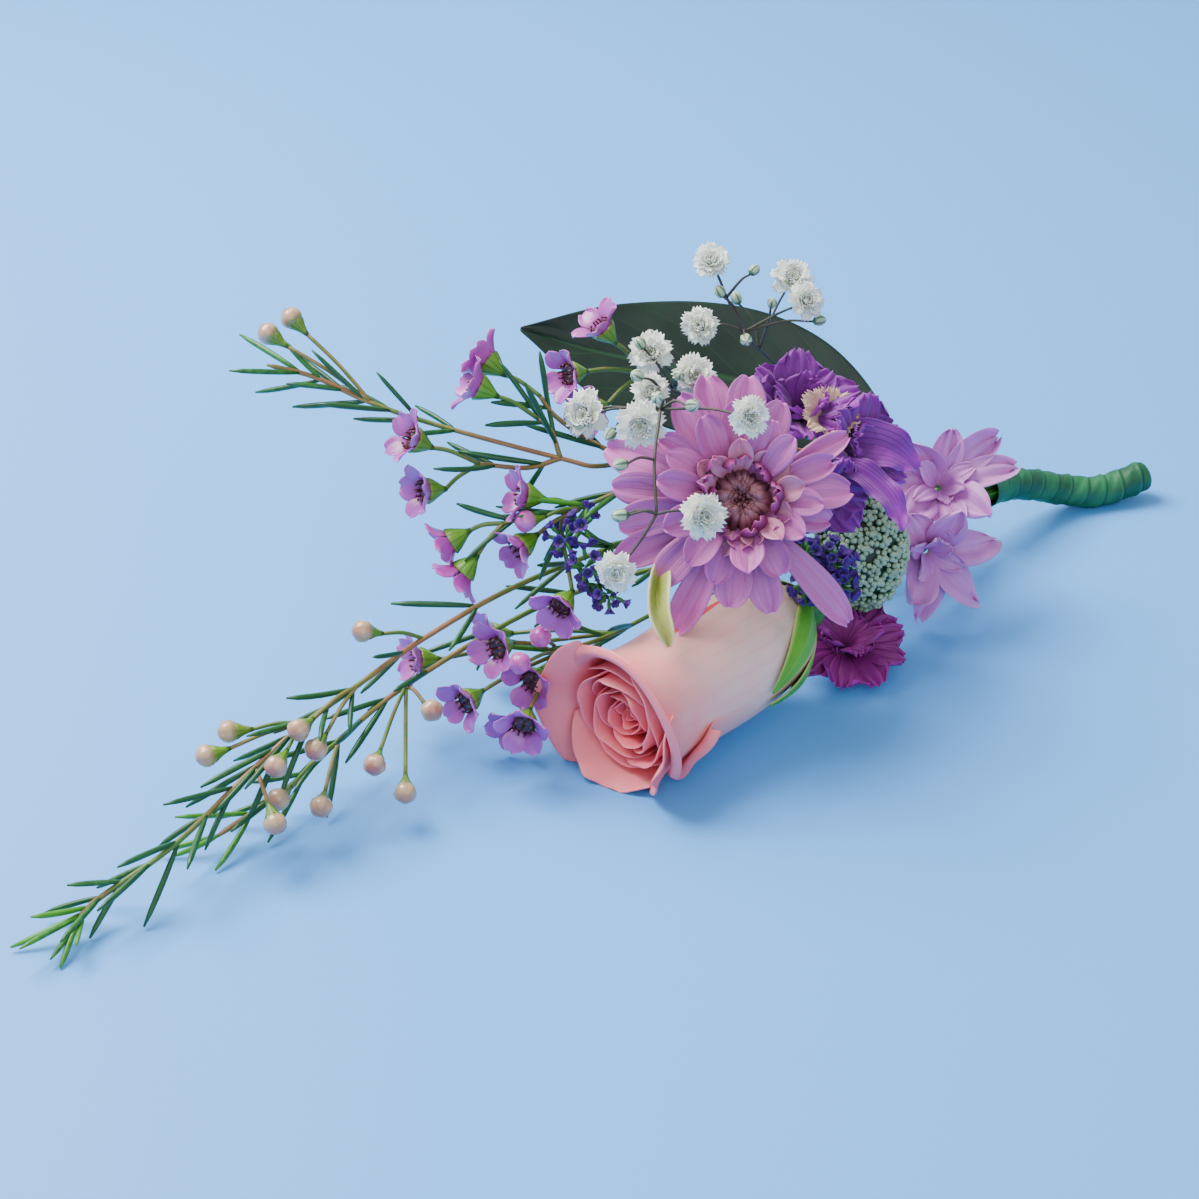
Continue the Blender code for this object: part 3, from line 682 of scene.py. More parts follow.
SEPAL_GREEN = tissue("sepal_green", LEAF, {
    "Green": (0.05, 0.30, 0.005), "Pale": (0.14, 0.46, 0.02), "Rib": (0.16, 0.42, 0.04), "Side Veins": 14.0,
    "Edge Share": 0.7, "Edge": (0.50, 0.58, 0.16), "Gloss": 0.4}, bump=0.2, glow=0.08)
GUARD_CREAM = tissue("guard_cream_green", LEAF, {
    "Green": (0.26, 0.32, 0.04), "Pale": (0.62, 0.58, 0.18), "Rib": (0.40, 0.42, 0.08), "Side Veins": 3.0,
    "Edge Share": 0.8, "Edge": (0.86, 0.80, 0.42), "Gloss": 0.4}, bump=0.2, glow=0.1)
# The near-black Base is the rays' own deep magenta, darkened further as painted shade where the rays crowd
# together at the centre.
MUM_RAY = tissue("mum_lilac_ray", PETAL, {
    "Base": (0.05, 0.0005, 0.03), "Middle": (0.26, 0.006, 0.18), "Edge": (0.6, 0.1, 0.48),
    "Reverse": (0.68, 0.2, 0.54), "Reverse Share": 0.6, "Vein": (0.16, 0.004, 0.11), "Veins": 6.0,
    "Vein Strength": 0.6, "Tint": (0.34, 0.012, 0.3), "Tint Share": 0.35, "Base End": 0.6,
    "Edge Start": 0.62, "Blotch": 0.35, "Gloss": 0.42}, bump=0.4, glow=0.08)
# Here too the near-black Base is deep magenta, darkened further as painted shade at the crowded foot of the
# rays.
MUM_INNER = tissue("mum_dusky_ray", PETAL, {
    "Base": (0.025, 0.0005, 0.01), "Middle": (0.14, 0.005, 0.08), "Edge": (0.5, 0.07, 0.32),
    "Reverse": (0.74, 0.28, 0.44), "Reverse Share": 0.85, "Vein": (0.16, 0.01, 0.09), "Veins": 5.0,
    "Vein Strength": 0.5, "Tint": (0.17, 0.006, 0.08), "Tint Share": 0.4, "Base End": 0.5,
    "Edge Start": 0.6, "Blotch": 0.3, "Gloss": 0.42}, bump=0.4, glow=0.06)
MUM_DISC = tissue("mum_maroon_floret", BUD, {
    "Foot": (0.012, 0.001, 0.004), "Body": (0.045, 0.005, 0.014), "Tip": (0.24, 0.08, 0.095),
    "Band": (0.05, 0.004, 0.02), "Bands": 5.0, "Band Strength": 0.4, "Foot End": 0.5, "Tip Start": 0.7,
    "Tint": (0.4, 0.17, 0.2), "Tint Share": 0.75, "Gloss": 0.4}, bump=0.3)
STATICE_PURPLE = tissue("statice_purple", PETAL, {
    "Base": (0.05, 0.003, 0.08), "Middle": (0.2, 0.001, 0.28), "Edge": (0.42, 0.006, 0.52),
    "Reverse": (0.2, 0.004, 0.28), "Reverse Share": 0.4, "Vein": (0.04, 0.001, 0.08), "Veins": 9.0,
    "Vein Strength": 0.6, "Tint": (0.14, 0.0005, 0.24), "Tint Share": 0.5, "Base End": 0.3,
    "Edge Start": 0.5, "Blotch": 0.6, "Gloss": 0.5}, bump=0.6, sheen=0.25, glow=0.06)
STATICE_CREAM = tissue("statice_cream_frill", PETAL, {
    "Base": (0.30, 0.12, 0.12), "Middle": (0.66, 0.46, 0.26), "Edge": (0.84, 0.68, 0.38),
    "Reverse": (0.6, 0.42, 0.32), "Vein": (0.5, 0.22, 0.2), "Veins": 3.0, "Vein Strength": 0.3,
    "Tint": (0.55, 0.25, 0.35), "Tint Share": 0.3, "Gloss": 0.55}, bump=0.4, glow=0.1)
LARKSPUR = tissue("larkspur_lilac", PETAL, {
    "Base": (0.46, 0.42, 0.22), "Middle": (0.58, 0.21, 0.57), "Edge": (0.78, 0.33, 0.73),
    "Reverse": (0.58, 0.21, 0.57), "Reverse Share": 0.4, "Vein": (0.30, 0.12, 0.38), "Veins": 5.0,
    "Vein Strength": 0.3, "Tint": (0.46, 0.1, 0.52), "Tint Share": 0.45, "Base End": 0.22,
    "Edge Start": 0.5, "Blotch": 0.45, "Gloss": 0.45}, bump=0.35, glow=0.12)
VIOLET = tissue("violet_blue_floret", PETAL, {
    "Base": (0.26, 0.20, 0.50), "Middle": (0.03, 0.002, 0.17), "Edge": (0.09, 0.008, 0.33),
    "Reverse": (0.04, 0.008, 0.14), "Vein": (0.02, 0.002, 0.10), "Veins": 3.0, "Vein Strength": 0.4,
    "Tint": (0.14, 0.01, 0.32), "Tint Share": 0.6, "Base End": 0.2, "Gloss": 0.5}, bump=0.3)
MAGENTA = tissue("magenta_velvet", PETAL, {
    "Base": (0.05, 0.002, 0.05), "Middle": (0.24, 0.001, 0.2), "Edge": (0.46, 0.004, 0.38),
    "Reverse": (0.22, 0.006, 0.18), "Vein": (0.10, 0.002, 0.10), "Veins": 9.0, "Vein Strength": 0.55,
    "Tint": (0.1, 0.002, 0.12), "Tint Share": 0.5, "Gloss": 0.5}, bump=0.5)
GYPS_WHITE = tissue("gypsophila_white", PETAL, {
    "Base": (0.42, 0.66, 0.16), "Middle": (0.92, 0.96, 0.84), "Edge": (0.98, 0.98, 0.98),
    "Reverse": (0.93, 0.96, 0.90), "Reverse Share": 0.4, "Vein": (0.84, 0.90, 0.76), "Veins": 3.0,
    "Vein Strength": 0.15, "Tint": (0.74, 0.88, 0.52), "Tint Share": 0.3, "Base End": 0.45, "Gloss": 0.5},
    bump=0.2, glow=0.2)
GYPS_BUD = tissue("gypsophila_bud", BUD, {
    "Foot": (0.05, 0.12, 0.03), "Body": (0.44, 0.60, 0.36), "Tip": (0.72, 0.82, 0.66),
    "Band": (0.03, 0.09, 0.04), "Bands": 5.0, "Band Strength": 0.85, "Foot End": 0.3, "Tip Start": 0.75,
    "Tint": (0.10, 0.18, 0.14), "Tint Share": 0.3, "Gloss": 0.4}, bump=0.4)
WAX_PETAL = tissue("waxflower_petal", PETAL, {
    "Base": (0.26, 0.01, 0.12), "Middle": (0.46, 0.06, 0.42), "Edge": (0.66, 0.16, 0.6),
    "Reverse": (0.44, 0.09, 0.43), "Reverse Share": 0.5, "Vein": (0.36, 0.05, 0.34), "Veins": 4.0,
    "Vein Strength": 0.35, "Tint": (0.46, 0.05, 0.42), "Tint Share": 0.55, "Base End": 0.35,
    "Edge Start": 0.5, "Blotch": 0.45, "Gloss": 0.26}, bump=0.15, glow=0.1, coat=0.2)
WAX_CENTRE = tissue("waxflower_centre", BUD, {
    "Foot": (0.03, 0.002, 0.004), "Body": (0.07, 0.004, 0.010), "Tip": (0.16, 0.012, 0.02),
    "Band": (0.02, 0.001, 0.003), "Bands": 10.0, "Band Strength": 0.5, "Tint": (0.36, 0.10, 0.07),
    "Tint Share": 0.55, "Gloss": 0.25}, bump=0.3, coat=0.4)
WAX_CALYX = tissue("waxflower_calyx", BUD, {
    "Foot": (0.02, 0.12, 0.008), "Body": (0.12, 0.33, 0.012), "Tip": (0.34, 0.34, 0.10),
    "Band": (0.03, 0.12, 0.008), "Bands": 10.0, "Band Strength": 0.4, "Foot End": 0.3, "Tip Start": 0.88,
    "Tint": (0.18, 0.12, 0.02), "Tint Share": 0.35, "Gloss": 0.3}, bump=0.4)
WAX_BUD = tissue("waxflower_bud", BUD, {
    "Foot": (0.16, 0.26, 0.05), "Body": (0.58, 0.36, 0.22), "Tip": (0.40, 0.10, 0.10),
    "Band": (0.36, 0.12, 0.10), "Bands": 5.0, "Band Strength": 0.3, "Foot End": 0.45, "Tip Start": 0.74,
    "Tint": (0.50, 0.34, 0.16), "Tint Share": 0.5, "Gloss": 0.18}, bump=0.25, glow=0.1, coat=0.5)
WAX_PINK_BUD = tissue("waxflower_pink_bud", BUD, {
    "Foot": (0.30, 0.30, 0.06), "Body": (0.60, 0.09, 0.42), "Tip": (0.46, 0.04, 0.34),
    "Band": (0.40, 0.05, 0.30), "Bands": 5.0, "Band Strength": 0.35, "Foot End": 0.2, "Tip Start": 0.78,
    "Tint": (0.66, 0.20, 0.54), "Tint Share": 0.5, "Gloss": 0.2}, bump=0.25, glow=0.1, coat=0.4)
UMBEL_BUD = tissue("umbel_bud", BUD, {
    "Foot": (0.01, 0.05, 0.012), "Body": (0.10, 0.22, 0.10), "Tip": (0.42, 0.54, 0.38),
    "Band": (0.03, 0.11, 0.03), "Bands": 5.0, "Band Strength": 0.4, "Foot End": 0.35, "Tip Start": 0.6,
    "Tint": (0.12, 0.20, 0.11), "Tint Share": 0.5, "Gloss": 0.45}, bump=0.3)
STEM_GREEN = tissue("stem_green", STEM, {
    "Green": (0.02, 0.16, 0.015), "Brown": (0.20, 0.10, 0.035), "Streak": (0.10, 0.30, 0.05)}, bump=0.3)
GYPS_STEM = tissue("gypsophila_stem", STEM, {
    "Green": (0.05, 0.055, 0.03), "Brown": (0.05, 0.028, 0.028), "Streak": (0.13, 0.12, 0.08),
    "Gloss": 0.5}, bump=0.3)
WAX_STEM = tissue("waxflower_stem", STEM, {
    "Green": (0.06, 0.17, 0.015), "Brown": (0.30, 0.13, 0.045), "Streak": (0.42, 0.30, 0.10), "Gloss": 0.4},
    bump=0.4)
WAX_NEEDLE = tissue("waxflower_needle", STEM, {
    "Green": (0.006, 0.075, 0.016), "Brown": (0.06, 0.30, 0.012), "Streak": (0.03, 0.18, 0.03),
    "Scar Share": 0.1, "Gloss": 0.28}, bump=0.25)
LEAF_DARK = tissue("leaf_dark_green", LEAF, {
    "Green": (0.001, 0.014, 0.006), "Pale": (0.003, 0.03, 0.012), "Rib": (0.01, 0.06, 0.02),
    "Side Veins": 10.0, "Slant": 0.5, "Gloss": 0.36}, bump=0.3, coat=0.05)
# The tape's Painted Shade colour darkens the creases and the foot of each turn. Its pale colour also paints
# a highlight on each turn's lip.
TAPE_GREEN = tissue("florist_tape", TAPE, {
    "Green": (0.001, 0.085, 0.028), "Pale Patch And Highlight": (0.008, 0.18, 0.06), "Painted Shade": (0.0, 0.02, 0.008)}, bump=0.6)


# ---------------------------------------------------------------- handle


def make_tape():
    """Tape wound round the stems: each turn steps up over the one before it."""
    route = smooth_route(TAPE_ROUTE, 30)
    heading = unit(np.gradient(route, axis=0))
    length = np.concatenate([[0], np.cumsum(np.linalg.norm(np.diff(route, axis=0), axis=1))])
    sides, turn_pitch, step_up = 56, 5.2, 0.34
    form = tube(route, TAPE_RADIUS, sides)
    ring = np.repeat(np.arange(len(route)), sides)
    angle = np.tile(np.arange(sides) / sides, len(route))
    reach = length[ring]
    wound = (reach / turn_pitch + angle) % 1.0
    ridge = np.where(wound < 0.9, wound / 0.9, (1 - wound) / 0.1)
    sag = 0.10 * np.sin(2 * math.pi * (3 * angle + reach / 11))
    sag = sag + 0.06 * np.sin(reach * 1.9 + angle * 31)
    mouth = MOUTH_FLARE * np.exp(-reach / MOUTH_LENGTH)
    end = smoothstep((reach - length[-1] + TAIL_LENGTH) / TAIL_LENGTH)
    radius = (TAPE_RADIUS - 0.2 + mouth + step_up * ridge + sag) * (1 - 0.9 * end ** 3)
    middle = route[ring]
    points = middle + unit(form.points - middle) * radius[:, None]
    points = points + heading[ring] * (1.5 * end)[:, None]
    # The ridge goes into the tint, and the tape's finish turns it into a painted highlight on each lip and
    # painted shade at each step's foot.
    outer = form._replace(points=points, tint=ridge)
    flare = MOUTH_FLARE * np.exp(-length[:LINING_RINGS] / MOUTH_LENGTH)
    inner = tube(route[:LINING_RINGS], TAPE_RADIUS - 0.15 + flare, sides, 0.2)
    inside_out = inner.corners.reshape(-1, 4)[:-sides // 2][:, ::-1].ravel()
    lining = inner._replace(corners=inside_out, sizes=inner.sizes[:-2],
                            places=inner.places[:len(inside_out)])
    kept = outer.corners[:-2 * sides]
    tail = outer.corners[-sides:]
    outer = outer._replace(corners=np.concatenate([kept, tail]), sizes=outer.sizes[:-1],
                           places=np.concatenate([outer.places[:-2 * sides], outer.places[-sides:]]))
    first = np.arange(sides)
    after = (first + 1) % sides
    lip = np.stack([first, first + len(outer.points), after + len(outer.points), after], axis=1)[:, ::-1]
    rim = Form(np.zeros((0, 3)), lip.ravel() - len(outer.points) - len(lining.points), np.full(sides, 4),
               np.zeros((4 * sides, 2)), np.zeros(0), np.zeros(0))
    piece("tape_wound", [outer, lining, rim], TAPE_GREEN, "florist_tape", "tape_wrap")


# ---------------------------------------------------------------- rose


def make_rose():
    axis = (ROSE_MOUTH - ROSE_HIP).normalized()
    where = pose(ROSE_HIP, axis)
    route, radii = stem(-1, -1, [(62, -9, 13.6), (44, -15.5, 13), (34, -22, 16), ROSE_HIP - axis * 10], 1.3)
    hip = [(7.5, 1.35), (6, 2.5), (4.4, 4.2), (2.6, 5.2), (0.6, 5.0), (-0.8, 3.6)]
    route = np.vstack([route, [ROSE_HIP - axis * reach for reach, _ in hip]])
    radii = np.concatenate([radii, [radius for _, radius in hip]])
    fine = np.linspace(0, 1, 3 * len(route))
    piece("stem_rose", [tube(flow(route, fine), flow(radii, fine)[:, 0], 16, 0.1)], STEM_GREEN,
          "stem_green", "rose_stem")

    body = [(0.8, 3.4), (3, 7.3), (7.5, 10.8), (15, 12.9), (25, 13.7), (35, 13.6), (44, 13.2)]
    short = [(0.8, 3.4), (3, 7.3), (7, 10.8), (14, 13.1), (23, 14.2), (32, 14.3), (39, 14.2)]
    outer = [  # turn in degrees, half span, the rows up to the rim, then the rest
        (62, 92, body + [(50.5, 13.6), (55, 14.6), (57.4, 16.2), (56.6, 18.0)],
         dict(spiral=-0.5, wave=0.35, phase=0.6, drop=2.5)),
        (186, 60, body + [(51, 13.9), (55.5, 15.4), (59.5, 17.8), (61.5, 19.8)],
         dict(point=0.4, wave=0.6, phase=2.0, drop=6)),
        (250, 54, body + [(50.5, 13.2), (55, 13.8), (58.6, 14.6), (60.6, 15.2)],
         dict(point=1.8, wave=0.4, phase=4.1, drop=5)),
        (304, 50, short + [(43.5, 14.2), (46.5, 14.8), (48.4, 15.8), (48.0, 17.4)],
         dict(spiral=-0.3, point=1.0, wave=0.6, phase=1.0, drop=6)),
        (338, 46, body + [(50, 13.2), (54, 14.0), (57.2, 15.2), (59.2, 16.6)],
         dict(spiral=-1.2, point=2.4, wave=0.4, phase=5.0, drop=6)),
    ]
    for number, (turn, span, rows, rest) in enumerate(outer, 1):
        shape = rose_cup(math.radians(turn), span, rows, **rest)
        form = put(sheet(shape, 22, 28, 0.5), where, 0.15 * number)
        piece(f"petal_rose_outer_{number}", [form], ROSE_OUTSIDE, "rose_pink", f"rose_outer_petal_{number}")

    inner = [(1.2, 2.6), (4, 6.0), (9, 9.2), (17, 11.4), (27, 12.2), (38, 12.1), (47, 11.4), (53, 10.9),
             (56.4, 11.6)]
    for number in range(5):
        rows = [(reach - 0.9 * (number % 2), radius) for reach, radius in inner]
        turn = math.radians(30 + 72 * number)
        shape = rose_cup(turn, 66, rows, 1.5, 5.0, 0.8, 0.4, number * 1.7)
        form = put(sheet(shape, 18, 22, 0.42), where, 0.04 * number)
        piece(f"petal_rose_inner_{number + 1}", [form], ROSE_HEART, "rose_pink",
              f"rose_inner_petal_{number + 1}")

    forms = []
    whorls = [  # petals, first turn in degrees, half span, belly, rim radius, rim reach
        (3, 95, 78, 10.0, 8.6, 56.2), (3, 35, 80, 8.2, 6.4, 55.6), (3, 85, 84, 6.4, 4.4, 54.8),
        (3, 20, 92, 4.6, 2.7, 53.8), (2, 70, 130, 2.8, 1.2, 52.8)]
    for depth, (count, first, span, belly, rim, reach) in enumerate(whorls):
        rows = [(8, belly * 0.4), (18, belly * 0.8), (28, belly), (38, belly), (46, (2 * belly + rim) / 3),
                (reach - 3.2, rim + 0.1), (reach, rim + 0.2)]
        for number in range(count):
            turn = math.radians(first + 360 * number / count)
            shape = rose_cup(turn, span, rows, 1.3 - 0.18 * depth, 4.0, 1.0, 0.3, number * 2.1 + depth, 0.2)
            forms.append(put(sheet(shape, 16, 14, 0.36), where, 0.12 + 0.2 * depth))
    piece("petals_rose_heart", forms, ROSE_HEART, "rose_pink", "rose_heart")

    sepal = [(-1.2, 4.8, 2.4), (3, 9.0, 4.0), (8, 12.8, 4.2), (14, 15.2, 3.4), (20, 15.8, 2.0),
             (25, 15.6, 0.3)]
    for number, (turn, drift) in enumerate(((0.85, -1.0), (1.9, 0.2), (3.0, 0.15), (4.2, -0.1), (5.6, 0.3)),
                                           1):
        spine, halves = [], []
        for share, (reach, radius, half) in enumerate(sepal):
            angle = turn + drift * share / 5
            spine.append(where @ Vector((radius * math.cos(angle), radius * math.sin(angle), reach)))
            halves.append(half)
        facing = where.to_3x3() @ Vector((math.cos(turn + drift / 2), math.sin(turn + drift / 2), 0))
        form = sheet(blade(spine, halves, facing, -0.35, 0.3, 3, 0.15), 8, 18, 0.4)
        piece(f"sepal_rose_{number}", [form], SEPAL_GREEN, "rose_sepal_green", f"rose_sepal_{number}")

    guard = [(-19, -22, 42), (-24, -27.4, 41), (-27, -31.4, 38.2), (-27.4, -33.8, 34.8), (-27, -35.2, 31.4)]
    form = sheet(blade(guard, (1.6, 2.3, 2.4, 1.9, 0.5), (-0.35, -0.75, 0.55), 1.1, 0.6, 3, 0.3), 8, 16,
                 0.5)
    piece("guard_petal_rose", [form], GUARD_CREAM, "rose_cream", "rose_guard_petal")


# ---------------------------------------------------------------- chrysanthemum


def make_mum():
    chance = random.Random(11)
    where = pose(MUM_MIDDLE, MUM_FACING)
    facing = MUM_FACING.normalized()
    route, radii = stem(-1, 1, [(68, -6, 24), (40, -9, 35), (17, -13, 43)], 1.3)
    cup = [(16, 1.5), (13, 1.8), (10.5, 3.0), (8.6, 5.2), (7.2, 5.6), (6.2, 4.4)]
    joined = smooth_route([route[-7], route[-1], *[MUM_MIDDLE - facing * reach for reach, _ in cup[:2]]], 4)
    route = np.vstack([route[:-7], joined[:-1], [MUM_MIDDLE - facing * reach for reach, _ in cup[1:]]])
    radii = np.concatenate([radii[:-7], np.full(len(joined) - 1, 1.4), [radius for _, radius in cup[1:]]])
    piece("stem_mum", [tube(route, radii, 14, 0.15)], STEM_GREEN, "stem_green", "mum_stem")

    def ring(rays, start, height, rise, fall, cup, across=8, along=14, wander=8.0):
        forms = []
        for angle, length, width in rays:
            lean = chance.uniform(-wander, wander)
            shape = petal(length - start, width, rise + lean, fall + lean + chance.uniform(-wander, wander),
                          start, height, base=0.4, widest=0.72, blunt=0.3,
                          cup=cup * chance.uniform(0.6, 1.3), grooves=3, groove=0.26, ruffle=0.5, waves=2,
                          phase=chance.uniform(0, 6), twist=chance.uniform(-0.45, 0.45),
                          sway=chance.uniform(-1.2, 1.2))
            form = sheet(shape, across, along, 0.34)
            forms.append(put(form, where @ around(math.radians(angle)), chance.random()))
        return forms

    outer = [  # turn in degrees from the right, length and width
        (31, 27, 5.6), (8, 23.5, 8.4), (-13, 19.5, 7.4), (-46, 35, 7.2), (-76, 24.5, 7.6), (-95, 22.5, 8.6),
        (-117, 31.5, 7.6), (-139, 25.5, 7.8), (-154, 29, 8), (-171, 26.5, 8.4), (172, 27.5, 8),
        (158, 31, 9), (139, 22, 7.8), (122, 26, 8.4), (104, 28, 9.2), (87, 27, 9.2), (66, 23, 7.8)]
    piece("rays_mum_outer", ring(outer, 4.5, -6.2, 14, -16, 0.2), MUM_RAY, "mum_lilac", "mum_outer_rays")
    middle = [(24, 21.5, 6), (-2, 18.5, 6.8), (-28, 17.5, 6.4), (-60, 19, 7.4), (-84, 19.5, 7.6),
              (-110, 19.5, 7.2), (-132, 20, 7), (-160, 20.5, 7), (168, 21, 7), (146, 20, 7),
              (118, 20.5, 7.4), (92, 21, 7.6), (70, 20, 7), (48, 19.5, 6.2)]
    piece("rays_mum_middle", ring(middle, 4.6, -5.0, 46, -2, 0.26, wander=13.0), MUM_RAY, "mum_lilac",
          "mum_middle_rays")
    inner = [(10 + k * 25.7 + chance.uniform(-7, 7), chance.uniform(13, 16.5), chance.uniform(4.6, 6))
             for k in range(14)]
    piece("rays_mum_inner", ring(inner, 5.6, -4.6, 62, 16, 0.36, 8, 12, 18), MUM_INNER, "mum_lilac",
          "mum_inner_rays")
    curled = []
    for k in range(17):
        angle = math.radians(k * 21.2 + chance.uniform(-7, 7))
        bent = chance.uniform(88, 150)
        shape = petal(chance.uniform(6.5, 10), chance.uniform(3.0, 4.6), chance.uniform(34, 52), bent, 6.6,
                      -4.0, 0.45, 0.66, 0.3, cup=0.3, grooves=3, groove=0.14, ruffle=0.2,
                      phase=chance.uniform(0, 6), twist=chance.uniform(-0.4, 0.4),
                      sway=chance.uniform(-0.8, 0.8))
        curled.append(put(sheet(shape, 6, 10, 0.3), where @ around(angle), chance.random()))
    piece("rays_mum_curled", curled, MUM_INNER, "mum_lilac")

    floret = turned([(0, 0.36), (1.2, 0.52), (2.6, 0.78), (3.9, 0.95), (4.9, 0.84), (5.6, 0.46),
                     (5.8, 0.1)], 8,
                    ribs=2, depth=0.2)
    forms = []
    count, dome = 92, 7.4
    for number in range(count):
        share = math.sqrt((number + 0.5) / count)
        angle = number * GOLDEN_ANGLE
        radius = dome * share
        height = -3.4 - 1.2 * share ** 2 + 0.5 * math.sin(5 * angle)
        lean = Vector((-math.cos(angle) * 0.75 * share, -math.sin(angle) * 0.75 * share, 1))
        place = Vector((radius * math.cos(angle), radius * math.sin(angle), height))
        size = (0.5 + 0.62 * share) * chance.uniform(0.9, 1.1)
        tint = chance.random() * smoothstep((share - 0.35) / 0.6)
        forms.append(put(floret, where @ pose(place, lean, angle), tint, size))
    bowl = turned([(-6, 3.0), (-4.8, 6.6), (-3.8, 7.4), (-3.0, 6.0), (-2.8, 3.0), (-2.7, 0.3)], 24)
    forms.append(put(bowl, where, 0.0))
    piece("florets_mum", forms, MUM_DISC, "mum_disc_maroon", "mum_disc")


# ---------------------------------------------------------------- purple, lilac and violet


def flower(forms, where, count, chance, shape_of, across=6, along=9, wall=0.26, smooth=1, turn=0.0):
    """A ring of petals, each modelled with its own chances."""
    for number in range(count):
        form = sheet(shape_of(number), across, along, wall, smooth)
        angle = turn + (number + chance.uniform(-0.14, 0.14)) * 2 * math.pi / count
        forms.append(put(form, where @ around(angle), chance.random()))


def make_statice():
    chance = random.Random(23)
    fork = np.array((40, -6, 48))
    route, radii = stem(-2, 2, [(68, -4, 29), fork], 1.1)
    stems = [tube(route, radii, 10, 0.1)]
    heads = [  # place, facing, petal length, petals
        ((34, -5, 54), (-0.25, -0.45, 0.85), 15.5, 8),
        ((37, -17, 49.5), (0.15, -0.85, 0.5), 14.5, 6),
        ((28, -19, 45.5), (-0.35, -0.9, 0.05), 13, 6)]
    arms = [  # spine and half widths of the long outer petals of the second head
        [(32, -16, 49), (36.5, -20, 53), (41, -25, 53.4), (45, -29, 50.6), (47, -31, 47.6)],
        (2.0, 4.6, 5.4, 3.6, 0.5), [(31, -21, 50), (31.5, -27, 51.4), (33.5, -33, 49), (34.4, -38, 45),
                                    (33.6, -41, 41)], (1.5, 2.8, 3.2, 2.6, 0.4)]
    for number, (place, facing, reach, petals) in enumerate(heads, 1):
        back = behind(place, facing)
        bend = fork + (back - fork) * 0.6 - np.array(facing) * 2
        twig = smooth_route([fork, bend, back], 5)
        stems.append(tube(twig, np.linspace(0.9, 0.8, len(twig)), 8, 0.2))
        where = pose(place, facing)
        forms = []

        def outer_petal(_):
            return petal(reach * chance.uniform(0.85, 1.12), reach * chance.uniform(0.7, 0.9), 74, 8, 0.8,
                         0, 0.25, 0.8, 0.6, 0.16, 0.06, 7, 0.06, 9, 0.3, 1.2, 4, chance.uniform(0, 6),
                         chance.uniform(-0.4, 0.4), chance.uniform(-1, 1))

        def inner_petal(_):
            return petal(reach * chance.uniform(0.55, 0.8), reach * 0.62, 84, 40, 0.6, 0.6, 0.3, 0.8, 0.6,
                         0.14, 0.07, 6, 0.1, 7, 0.26, 1.1, 4, chance.uniform(0, 6),
                         chance.uniform(-0.4, 0.4))

        flower(forms, where, petals, chance, outer_petal, 16, 14, 0.26)
        flower(forms, where, petals, chance, inner_petal, 12, 11, 0.24, turn=0.4)
        if number == 2:
            for spine, halves in zip(arms[::2], arms[1::2]):
                shape = blade(spine, halves, (-0.3, -0.7, 0.6), 0.4, 1.3, 7, 0.3, 9, 0.9)
                forms.append(sheet(shape, 12, 16, 0.28))
        piece(f"petals_statice_{number}", forms, STATICE_PURPLE, "statice_purple",
              f"statice_flower_{number}")
    forms = []

    def frill_petal(_):
        return petal(chance.uniform(6, 8), 4.6, 66, 22, 1.5, 5.5, 0.4, 0.8, 0.7, 0.05, 0.16, 5, 0.12, 5,
                     0.14, 0.5, 3, chance.uniform(0, 6), chance.uniform(-0.3, 0.3))

    flower(forms, pose((37, -11, 51.5), (-0.25, -0.5, 0.85)), 10, chance, frill_petal, 10, 9, 0.22)
    piece("frill_statice", forms, STATICE_CREAM, "statice_cream")
    piece("stem_statice_twigs", stems, STEM_GREEN, "stem_green", "statice_stem")


def make_larkspur():
    chance = random.Random(31)
    fork = np.array((86, -8.5, 17))
    route, radii = stem(-4, 0, [fork], 1.0)
    stems = [tube(route, radii, 10, 0.1)]
    heads = [  # place, facing, and each petal's turn in degrees, length and width
        ((71.4, -14, 28), (-0.35, -0.6, 0.72), [(6, 21, 8), (40, 20, 8.5), (75, 15, 8), (120, 15, 8.5),
                                                (165, 14, 9),
                                              (215, 15, 9), (262, 15, 9.5), (318, 17, 9)]),
        ((62.4, -20, 17.5), (-0.35, -0.9, 0.25), [(10, 18, 9), (60, 15, 9), (115, 13, 8.5), (165, 14, 8.5),
                                                (220, 15, 9.5), (262, 17, 9.5), (308, 19, 9.5)])]
    for number, (place, facing, petals) in enumerate(heads, 1):
        back = behind(place, facing)
        twig = smooth_route([fork, fork + (back - fork) * 0.6, back], 5)
        stems.append(tube(twig, np.linspace(0.9, 0.8, len(twig)), 8, 0.2))
        where = pose(place, facing)
        forms = []
        for angle, length, width in petals:
            shape = petal(length, width, 66, chance.uniform(-45, 25), 0.8, 0, 0.3, 0.55, 0.16, 0.05, 0.0, 2,
                          0.2, 3, 0.2, 1.3, 2, chance.uniform(0, 6), chance.uniform(-1.0, 1.0),
                          chance.uniform(-2.5, 2.5))
            forms.append(put(sheet(shape, 10, 16, 0.26), where @ around(math.radians(angle)),
                             chance.random()))

        def throat_shape(_):
            return petal(chance.uniform(7, 12), 5.0, 74, chance.uniform(-10, 60), 0.6, 0.6, 0.4, 0.6, 0.4,
                         0.05, 0.06, 4, 0.2, 3, 0.14, 0.9, 3, chance.uniform(0, 6),
                         chance.uniform(-0.4, 0.4))

        flower(forms, where, 6, chance, throat_shape, 8, 10, 0.24, turn=0.5)
        piece(f"petals_larkspur_{number}", forms, LARKSPUR, "larkspur_lilac", f"larkspur_flower_{number}")
    piece("stem_larkspur_twigs", stems, STEM_GREEN, "stem_green", "larkspur_stem")


